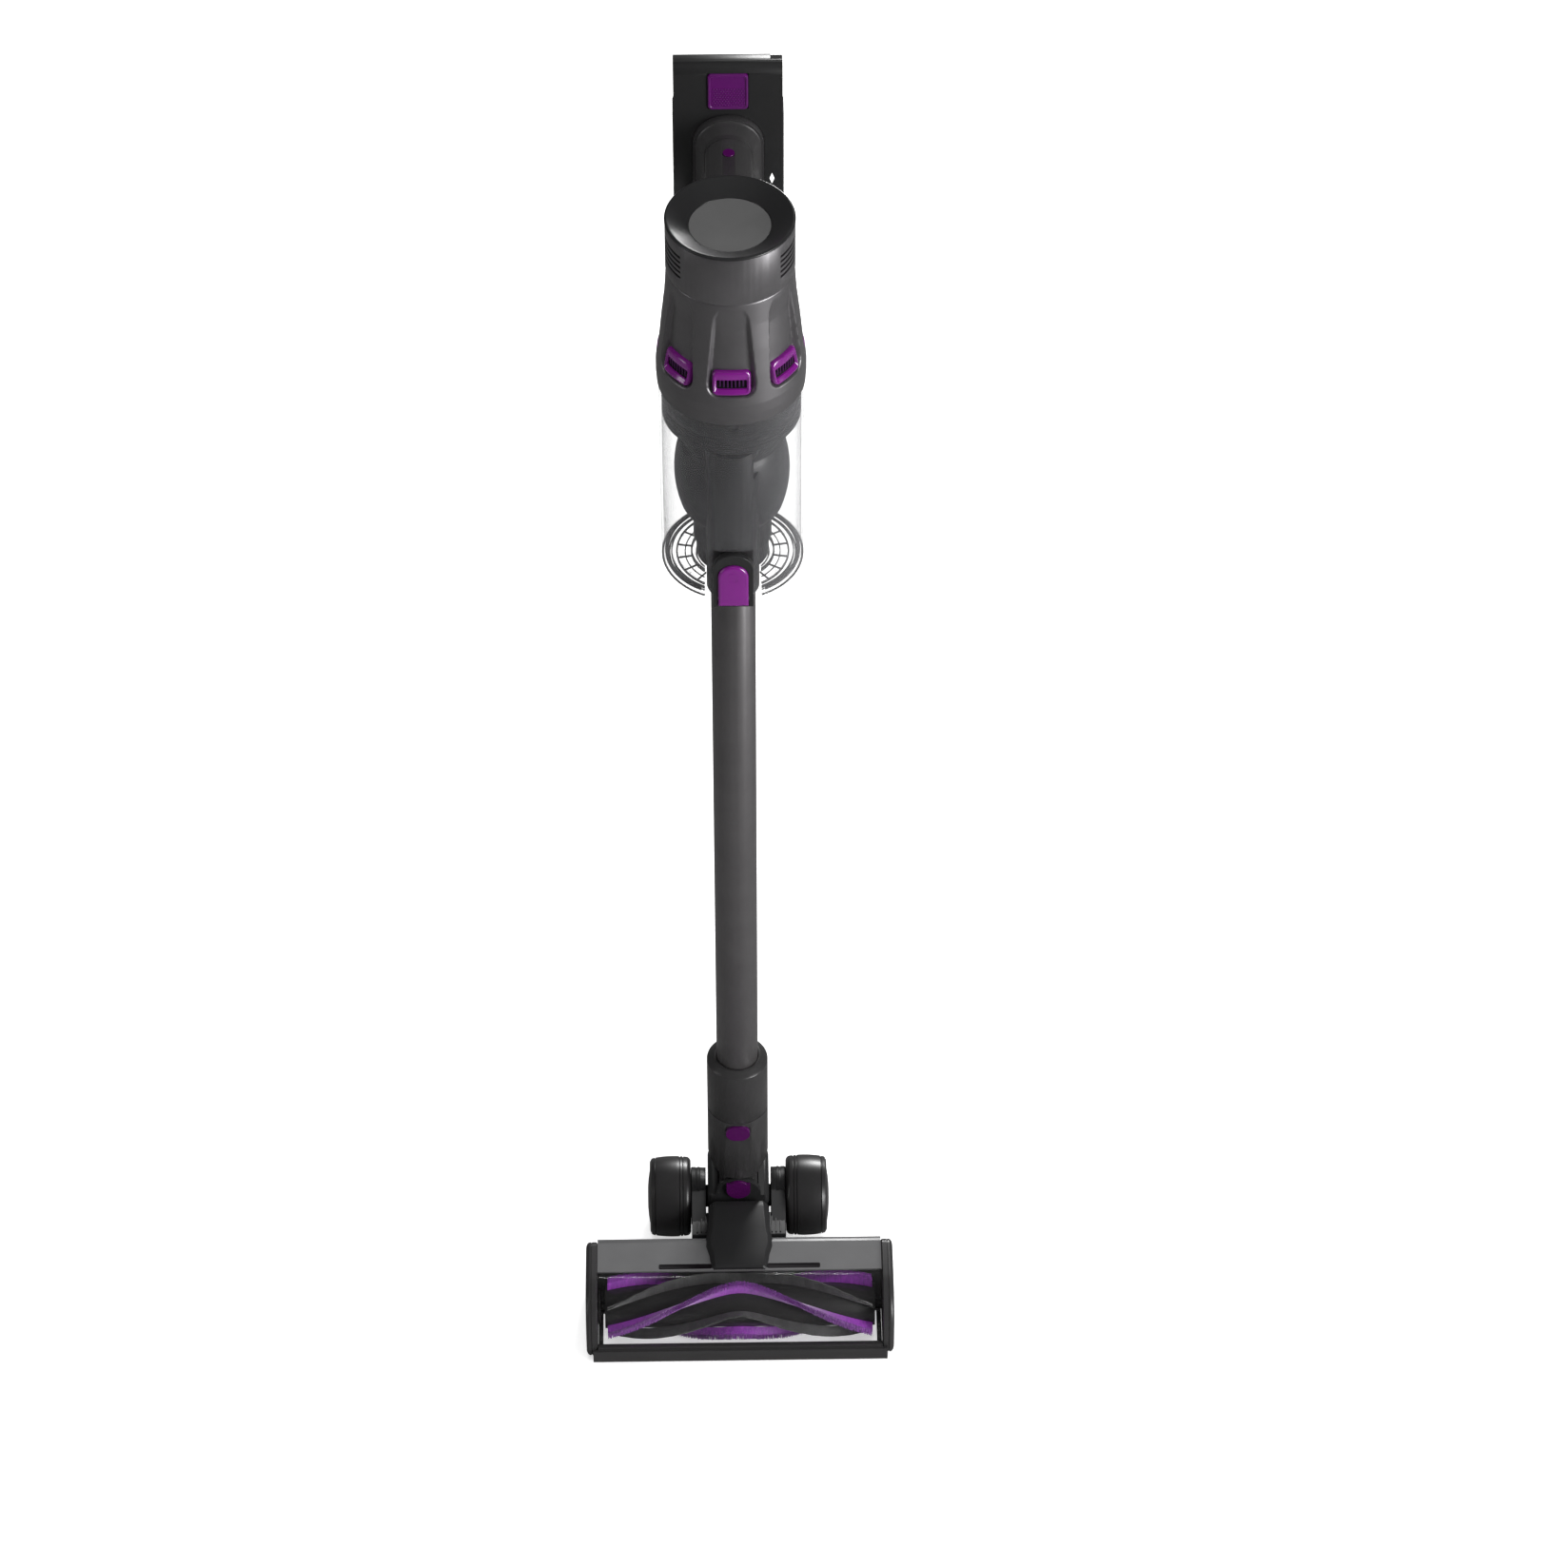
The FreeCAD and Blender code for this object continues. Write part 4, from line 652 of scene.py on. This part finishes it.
def battery_latch():
    """The purple catch: a rounded plate with a raised border and rows of small dots."""
    latch_low, latch_high = span("battery_latch")
    half_w, half_h = latch_high.x, (latch_high.z - latch_low.z) / 2
    middle_z = (latch_low.z + latch_high.z) / 2
    front, back = latch_low.y, latch_high.y
    stages = [(0, back, 3), (0, front + 0.9, 3), (0.3, front + 0.3, 2.8), (0.9, front, 2.5),
              (1.5, front + 0.1, 2.2), (2.0, front + 0.7, 2)]
    mesh = bmesh.new()
    rings = [[(x, y, middle_z + z) for x, z in rounded_outline(half_w - inset, half_h - inset, corner)]
             for inset, y, corner in stages]
    skin(mesh, rings)
    pitch, dot, sides = 2.05, 0.62, 10
    for row in range(9):
        shift = pitch / 2 * (row % 2)
        z = latch_low.z + 3.6 + row * pitch * 0.87
        for column in range(-5, 6):
            x = column * pitch + shift
            if abs(x) > half_w - 3:
                continue
            loops = []
            for radius, out in ((dot, -0.3), (dot, 0.0), (dot * 0.8, 0.3), (dot * 0.4, 0.45)):
                turns = [math.tau * s / sides for s in range(sides)]
                loops.append([(x + radius * math.cos(t), front + 0.7 - out, z + radius * math.sin(t))
                              for t in turns])
            skin(mesh, loops)
    finish("latch_catch", mesh, "battery_latch", "purple_grip", stands_for=["battery_latch"], crease=35)


# ---------------------------------------------------------------- elbow, wheels and head

def wheels():
    """Barrel-shaped tyres with thin grooves, and a smoothly domed hub in each."""
    for side, word in ((-1, "left"), (1, "right")):
        tyre_low, tyre_high = span(f"wheel_tyre_{word}")
        centre = (0, (tyre_low.z + tyre_high.z) / 2)
        radius = (tyre_high.z - tyre_low.z) / 2
        inner = min(abs(tyre_low.x), abs(tyre_high.x))
        outer = max(abs(corner.x) for corner in span(f"wheel_hub_{word}"))
        core = 24

        def barrel(x):
            share = (x - inner) / (outer - inner)
            return radius - 7 * (share - 0.42) ** 2 - (0.9 * max(0, share - 0.8) / 0.2) ** 2
        line = [(core + 0.02, inner), (barrel(inner) - 2.4, inner), (barrel(inner) - 0.6, inner + 1.1)]
        grooves = [5.6, 8.2, 28]
        place = inner + 2.4
        while place < outer - 3:
            near = [g for g in grooves if abs(inner + g + 0.45 - place) < 1.0]
            if near:
                start = inner + near[0]
                line += [(barrel(start), start), (barrel(start) - 0.8, start + 0.25),
                         (barrel(start) - 0.8, start + 0.65), (barrel(start), start + 0.9)]
                place = start + 1.9
            else:
                line.append((barrel(place), place))
                place += 1.5
        line += [(radius - 4.5, outer - 1.8), (core + 0.02, outer - 1.8)]
        profile = [(r, side * x) for r, x in line]
        finish(f"grooved_tyre_{word}", lathe(bmesh.new(), profile, centre, "X"), f"wheel_{word}",
               "tyre_rubber", stands_for=[f"wheel_tyre_{word}"], crease=40)
        dome = [(4.05, inner + 0.2), (core, inner + 0.2), (core, outer - 2.4), (20, outer - 1.35),
                (15, outer - 0.6), (9, outer - 0.12), (0.01, outer), (0.01, outer - 4), (4.05, outer - 4)]
        profile = [(r, side * x) for r, x in dome]
        finish(f"domed_hub_{word}", lathe(bmesh.new(), profile, centre, "X"), f"wheel_{word}",
               "wheel_plastic", stands_for=[f"wheel_hub_{word}"], crease=40)


BRUSH_TURN = 118         # degrees that a strip winds from the middle of the roll to its end
brush_low, brush_high = span("bristle_strips")
STRIP_ROOT = 17.25       # the radius that the strips start from
STRIP_PEAK = 0.12        # how rounded the point of their V is
BRUSH = ((brush_low.y + brush_high.y) / 2, (brush_low.z + brush_high.z) / 2)


def strip_point(along, radius, start, aside):
    """A point of a strip: along the roll, out from its axis and aside from its middle line."""
    half = brush_high.x
    share = math.hypot(along / half, STRIP_PEAK) - STRIP_PEAK
    angle = math.radians(start + BRUSH_TURN * share)
    out = (math.cos(angle), math.sin(angle))
    side = (-math.sin(angle), math.cos(angle))
    return Vector((along, BRUSH[0] + out[0] * radius + side[0] * aside,
                   BRUSH[1] + out[1] * radius + side[1] * aside))


def bristle_strips():
    """Dense purple tufts in three V-shaped rows."""
    draw = random.Random(7)
    mesh = bmesh.new()
    inner, tip, half = STRIP_ROOT, 27.4, brush_high.x
    tufts, rows = 190, 4
    for start in (90, 210, 330):
        base = [[strip_point(mix(-half, half, s / 96), radius, start, aside)
                 for radius, aside in ((inner, -2.1), (inner + 6.4, -2.1), (inner + 6.4, 2.1), (inner, 2.1))]
                for s in range(97)]
        skin(mesh, base)
        for index in range(tufts):
            for row in range(rows):
                along = mix(-half + 0.7, half - 0.7, (index + 0.25 * (row % 2)) / (tufts - 0.5))
                aside = mix(-1.75, 1.75, row / (rows - 1))
                reach = tip - draw.random() * 0.7
                lean = draw.uniform(-0.35, 0.35)
                foot = strip_point(along, inner + 5.8, start, aside)
                head = strip_point(along + lean, reach, start, aside * 1.12 + draw.uniform(-0.2, 0.2))
                tuft(mesh, foot, head, 0.62, 0.36)
    finish("bristle_rows", mesh, "brush", "bristle_purple", stands_for=["bristle_strips"], crease=60)


def tuft(mesh, foot, head, wide, narrow):
    """One tapered three-sided bundle of bristles."""
    rise = (head - foot).normalized()
    side = rise.cross(Vector((1, 0, 0))).normalized()
    other = rise.cross(side)
    loops = []
    turns = [math.tau * s / 3 for s in range(3)]
    for point, radius in ((foot, wide), (head, narrow)):
        loops.append([point + (side * math.cos(t) + other * math.sin(t)) * radius for t in turns])
    skin(mesh, loops)


def sweeper_strips():
    """Soft black blades between the bristle rows, waved a little along their edges."""
    mesh = bmesh.new()
    inner, tip, half = STRIP_ROOT, 25.9, brush_high.x
    for start in (150, 270, 30):
        rings = []
        for step in range(121):
            along = mix(-half, half, step / 120)
            wave = 0.25 * math.sin(step * 0.9)
            rings.append([strip_point(along, radius, start, aside + wave * (radius > inner + 1))
                          for radius, aside in ((inner, -1.5), (inner + 4, -1.2), (tip - 0.3, -0.75),
                                                (tip, 0), (tip - 0.3, 0.75), (inner + 4, 1.2),
                                                (inner, 1.5))])
        skin(mesh, rings)
    finish("sweeper_blades", mesh, "brush", "bristle_black", stands_for=["sweeper_strips"], crease=40)


def neck_cover():
    """The faceted throat over the head's middle, widest behind its front end."""
    neck_low, neck_high = span("head_neck")
    seat = span("head_housing")[1].z
    back, front, top = neck_high.y, neck_low.y, neck_high.z
    # share of the way forward, half width, and how far the roof lies from its highest place
    stations = [(0, 23.4, -1.6), (0.04, 23.8, -0.5), (0.1, 24, 0), (0.42, 25.2, 0), (0.55, 26.6, 0),
                (0.66, 26.9, 0), (0.8, 24.4, 0), (0.93, 22.4, -0.2), (0.985, 21.9, -0.9),
                (1, 21.4, -1.8)]
    foot, step_y = 14, -61.5      # the cover reaches down to its foot only behind this place
    mesh = bmesh.new()
    rings = []
    for share, half, sink in stations:
        y, roof = mix(back, front, share), top + sink
        shoulder = 4.4 if share < 0.9 else 3
        base = foot if y > step_y else seat - 0.3
        section = [(-half, base), (-half, roof - shoulder), (shoulder * 0.9 - half, roof),
                   (half - shoulder * 0.9, roof), (half, roof - shoulder), (half, base)]
        rings.append([(p.x, y, p.y) for p in soften(section, 0.9, steps=3)])
    skin(mesh, rings)
    finish("neck_cover", mesh, "head", "dark_shell", stands_for=["head_neck"], crease=28)


def lid_rings():
    """The moulded circles and ribs of the clear bin lid, nearly opaque dark grey as painted shade, so that
    they read darker than its floor as refraction makes them.
    """
    top = span("bin_lid")[0].z + 3
    gap = span("inlet_duct")[1].x + 0.9
    mesh = bmesh.new()
    # radius, half thickness and height of each circle
    circles = [(50.8, 0.9, 0.5), (46.0, 0.7, 0.4), (44.4, 0.5, 2.6), (40.6, 0.7, 1.6),
               (34.6, 0.5, 0.7), (29.9, 0.7, 3.2), (26.4, 0.6, 0.8)]
    steps = 120
    for radius, thick, tall in circles:
        section = soften([(radius - thick, top - 0.4), (radius + thick, top - 0.4),
                          (radius + thick * 0.8, top + tall), (radius - thick * 0.8, top + tall)], 0.5)
        start = math.degrees(math.asin(min(1, (gap + 0.6) / radius)))
        rings = []
        for step in range(steps + 1):
            turn = around_unit(mix(start, 360 - start, step / steps))
            rings.append([turn((0, UNIT[1] - r, z)) for r, z in section])
        skin(mesh, rings)
    for degrees in range(40, 330, 20):
        cuboid(mesh, (-0.35, 0.35), (UNIT[1] - 40, UNIT[1] - 30.4), (top - 0.3, top + 1.3),
               around_unit(degrees), chamfer=0.1)
    finish("lid_rings", mesh, "bin_lid", "clear_plastic", [LID_RING_SHADE], crease=35)


def head_details():
    """Thin near-black bands each side of the throat and a row of small ticks in front of it, painted shade
    for the roof's slots.
    """
    front_y, roof = span("head_housing")[0].y, span("head_housing")[1].z
    pitch, half_tick = 1.8, 0.35
    mesh = bmesh.new()
    for side in (-1, 1):
        stages = [(0, -0.6), (0, 0.2), (0.3, 0.32), (0.8, 0.15)]
        rings = [[(side * 43 + x, front_y + 4.4 + y, roof + out)
                  for x, y in rounded_outline(21 - inset, 2.4 - inset, 1.2)] for inset, out in stages]
        skin(mesh, rings)
    for index in range(-11, 12):
        cuboid(mesh, (index * pitch - half_tick, index * pitch + half_tick),
               (front_y + 0.4, front_y + 2.6), (roof - 0.6, roof + 0.3), chamfer=0.1)
    finish("roof_slots", mesh, "head", "dark_shell", [PAINTED_GAP_SHADE], crease=35)


def side_caps():
    """The head's rounded side cheeks, each with a fine groove all round it."""
    middle = (-105, 32)
    profile = [(-62, 6), (-62, 50), (-71, 60), (-112, 61), (-122, 59.4), (-131, 55), (-138, 48.5),
               (-142.5, 40), (-144.2, 30), (-144.2, 8), (-139, 3), (-66, 3)]
    outline = soften(profile, 4.2, steps=6)
    draw_y, draw_z = 40, 30      # an inset of this many millimetres would shrink the outline to nothing
    for side, word, body in ((-1, "left", "head"), (1, "right", "end_cap")):
        low_x, high_x = (corner.x for corner in span(f"end_cap_{word}"))
        inner, outer = (high_x, low_x) if side < 0 else (low_x, high_x)
        stages = [(inner, 1.2), (inner + side * 0.5, 0.3), (inner + side * 0.8, 0),
                  (outer - side * 4.6, 0), (outer - side * 4.4, 0.5), (outer - side * 4.0, 0.5),
                  (outer - side * 3.8, 0), (outer - side * 2.6, 0), (outer - side * 1.5, 0.5),
                  (outer - side * 0.7, 1.3), (outer - side * 0.2, 2.3), (outer, 3.4)]
        mesh = bmesh.new()
        rings = [[(x, middle[0] + (y - middle[0]) * (1 - inset / draw_y),
                   middle[1] + (z - middle[1]) * (1 - inset / draw_z)) for y, z in outline]
                 for x, inset in stages]
        skin(mesh, rings)
        finish(f"side_cap_{word}", mesh, body, SLOT_OF[f"end_cap_{word}"],
               stands_for=[f"end_cap_{word}"], crease=40)


def axle_drums():
    """Ringed drums round the axles between the wheels and the joint, and their ribbed fairings."""
    yoke_high, (hub_low, hub_high) = span("tilt_yoke")[1], span("wheel_hub_right")
    axle = ((hub_low.y + hub_high.y) / 2, (hub_low.z + hub_high.z) / 2)
    inner, outer = yoke_high.x + 0.7, hub_low.x - 0.4
    roof, back = span("head_housing")[1].z, span("head_housing")[1].y
    bore, groove, rim, foot = 12, 22.6, 23.4, 16
    start_y, start_z = -21.5, 47

    def ledge(y):
        """How high a fairing's top is, as it climbs forwards from the axle to the roof."""
        return mix(start_z, roof - 1.5, (y - start_y) / (back - start_y))
    mesh = bmesh.new()
    for side in (-1, 1):
        profile = [(bore, inner), (groove, inner), (rim, inner + 0.8), (rim, inner + 2.6),
                   (groove, inner + 3.0), (groove, inner + 3.8), (rim, inner + 4.2),
                   (rim, outer - 0.8), (groove, outer), (bore, outer)]
        profile = [(radius, side * x) for radius, x in profile]
        lathe(mesh, profile if side > 0 else profile[::-1], axle, axis="X", steps=96)
        for near, far, xs in ((start_y, -30.6, (inner, outer - 0.6)),
                              (-30.5, back + 0.3, (24.2, outer - 0.6))):
            low_x, high_x = sorted(side * x for x in xs)
            section = soften([(near, foot), (near, ledge(near) - 2), (near - 2, ledge(near)),
                              (far, ledge(far)), (far, foot)], 0.8, steps=3)
            middle_y = sum(p.x for p in section) / len(section)
            middle_z = sum(p.y for p in section) / len(section)
            face = [(middle_y + (y - middle_y) * 0.96, middle_z + (z - middle_z) * 0.97)
                    for y, z in section]
            stages = [(low_x, face), (low_x + 0.6, section), (high_x - 0.6, section), (high_x, face)]
            skin(mesh, [[(x, y, z) for y, z in loop] for x, loop in stages])
        for step in range(3):
            rib_x = side * (26.4 + 3.4 * step)
            rings = []
            for y in (-38.5 - 3 * step, back + 3):
                z = ledge(y)
                rings.append([(rib_x - 0.7, y, z - 1), (rib_x - 0.4, y, z + 1),
                              (rib_x + 0.4, y, z + 1), (rib_x + 0.7, y, z - 1)])
            skin(mesh, rings)
    finish("axle_drums", mesh, "head", "dark_shell", crease=35)


# ---------------------------------------------------------------- carried-over CAD nodes

NODE_FINISH = {"handle_grip": HANDLE, "latch_frame": FINISH["gloss_rim"],
               "bin_seat_ring": FINISH["core_plastic"], "head_release_button": DEEP_PURPLE,
               "swivel_cap": DEEP_PURPLE, "power_button": DEEP_PURPLE}
EDGE_WIDTH = {"battery_case": 1.1, "head_neck": 1.2, "head_housing": 0.8, "elbow_body": 1.0,
              "tilt_yoke": 0.9, "handle_grip": 0.6, "end_cap_left": 0.5, "end_cap_right": 0.5}


def soften_cad_nodes():
    """Give each CAD node its finish, and ease its sharp edges so that they catch the light."""
    for node, item in frame["nodes"].items():
        item.data.materials.clear()
        item.data.materials.append(NODE_FINISH.get(node, FINISH[SLOT_OF[node]]))
        weld = item.modifiers.new("weld", "WELD")
        weld.merge_threshold = 0.000002
        bevel = item.modifiers.new("eased_edges", "BEVEL")
        bevel.width = EDGE_WIDTH.get(node, 0.35) * METRES
        bevel.segments = 2
        bevel.limit_method = "ANGLE"
        bevel.angle_limit = math.radians(34)
        bevel.harden_normals = True


# ---------------------------------------------------------------- floor, light and camera

CAMERA_LENS = 134.67         # millimetres, on a sensor 36 wide
CAMERA_ELEVATION = 45.4      # degrees above the horizon
CAMERA_YAW = 0.95            # degrees that the camera stands round to the left of the front
CAMERA_ASIDE = 0.0369
CAMERA_AIM_Z = 0.506
CAMERA_DISTANCE = 4.4036     # this and the two above in metres
FLOOR_SIZE, FLOOR_Z = 9, -0.0002      # metres; the floor lies a hair under the object
WORLD_STRENGTH = 0.08


def dim_to_gloss(tree, shader):
    """Let polished surfaces mirror a darker floor, as under a studio's black flags."""
    path = tree.nodes.new("ShaderNodeLightPath")
    dark = tree.nodes.new("ShaderNodeBsdfDiffuse")
    dark.inputs["Color"].default_value = (0.16, 0.16, 0.16, 1)
    choice = tree.nodes.new("ShaderNodeMixShader")
    tree.links.new(path.outputs["Is Glossy Ray"], choice.inputs["Fac"])
    tree.links.new(shader.outputs["BSDF"], choice.inputs[1])
    tree.links.new(dark.outputs["BSDF"], choice.inputs[2])
    tree.links.new(choice.outputs["Shader"], tree.nodes["Material Output"].inputs["Surface"])


def pale_floor():
    """A plain matt floor that glows a little, so that it reads as white."""
    floor_mesh = bmesh.new()
    bmesh.ops.create_grid(floor_mesh, x_segments=2, y_segments=2, size=FLOOR_SIZE)
    data = bpy.data.meshes.new("floor")
    floor_mesh.to_mesh(data)
    floor_mesh.free()
    floor = bpy.data.objects.new("floor", data)
    floor.location.z = FLOOR_Z
    bpy.context.scene.collection.objects.link(floor)
    floor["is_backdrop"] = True
    material, tree, shader, place = node_tree("pale_floor")
    tree.links.new(between(tree, noise(tree, place, 2), (0.9, 0.9, 0.9), (0.92, 0.92, 0.92)),
                   shader.inputs["Base Color"])
    shader.inputs["Roughness"].default_value = 0.9
    shader.inputs["IOR"].default_value = 1.1
    shader.inputs["Emission Color"].default_value = (1, 1, 1, 1)
    shader.inputs["Emission Strength"].default_value = 0.55
    dim_to_gloss(tree, shader)
    data.materials.append(material)


def soft_light(name, place, aim, size, power):
    """A rectangular light that faces a point."""
    data = bpy.data.lights.new(name, "AREA")
    data.shape = "RECTANGLE"
    data.size, data.size_y = size
    data.energy = power
    light = bpy.data.objects.new(name, data)
    light.location = place
    light.rotation_euler = (Vector(aim) - Vector(place)).to_track_quat("-Z", "Y").to_euler()
    bpy.context.scene.collection.objects.link(light)
    return light


def place_camera():
    """The camera, aimed at the object's middle and a little to one side."""
    camera_data = bpy.data.cameras.new("camera")
    camera_data.sensor_width = 36
    camera_data.lens = CAMERA_LENS
    camera = bpy.data.objects.new("camera", camera_data)
    bpy.context.scene.collection.objects.link(camera)
    turn = math.radians(-CAMERA_YAW)
    aside = Vector((math.cos(turn), math.sin(turn), 0)) * CAMERA_ASIDE
    aim = Vector((0, WAND_Y, CAMERA_AIM_Z)) + aside
    rise = math.radians(CAMERA_ELEVATION)
    toward = Vector((math.sin(turn) * math.cos(rise), -math.cos(turn) * math.cos(rise), math.sin(rise)))
    camera.location = aim + toward * CAMERA_DISTANCE
    camera.rotation_euler = (math.pi / 2 - rise, 0, turn)
    bpy.context.scene.camera = camera


def studio():
    """A faint world light, a plain pale floor, four soft lights and the camera."""
    world = bpy.data.worlds.new("studio")
    world.use_nodes = True
    back = world.node_tree.nodes["Background"]
    back.inputs["Color"].default_value = (1, 1, 1, 1)
    back.inputs["Strength"].default_value = WORLD_STRENGTH
    bpy.context.scene.world = world
    pale_floor()
    soft_light("key", (2.5, -1.7, 1.1), (0, 0, 0.5), (1.1, 2.0), 135)
    soft_light("left_fill", (-2.8, -0.8, 1.4), (0, 0, 0.5), (0.5, 2.0), 12)
    soft_light("back_strip", (0.62, 2.6, 1.3), (0, 0.03, 1.0), (0.7, 0.55), 62)
    overhead = soft_light("overhead", (0.1, -0.3, 3.4), (0, 0, 0), (2.6, 2.6), 75)
    overhead.visible_glossy = False
    place_camera()


# ---------------------------------------------------------------- the whole object

soften_cad_nodes()
motor_housing()
vent_grilles()
top_bezel()
louvre_shade_sleeve()
cyclone_core()
seat_band()
wand_release()
handle_skirt()
grip_pads()
battery_latch()
wheels()
bristle_strips()
sweeper_strips()
neck_cover()
side_caps()
axle_drums()
lid_rings()
head_details()
studio()
bpy.context.scene.view_settings.view_transform = "Standard"

boxes = {"cad": cad_box, "visual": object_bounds()}
{name: [list(corner) for corner in box] for name, box in boxes.items()}
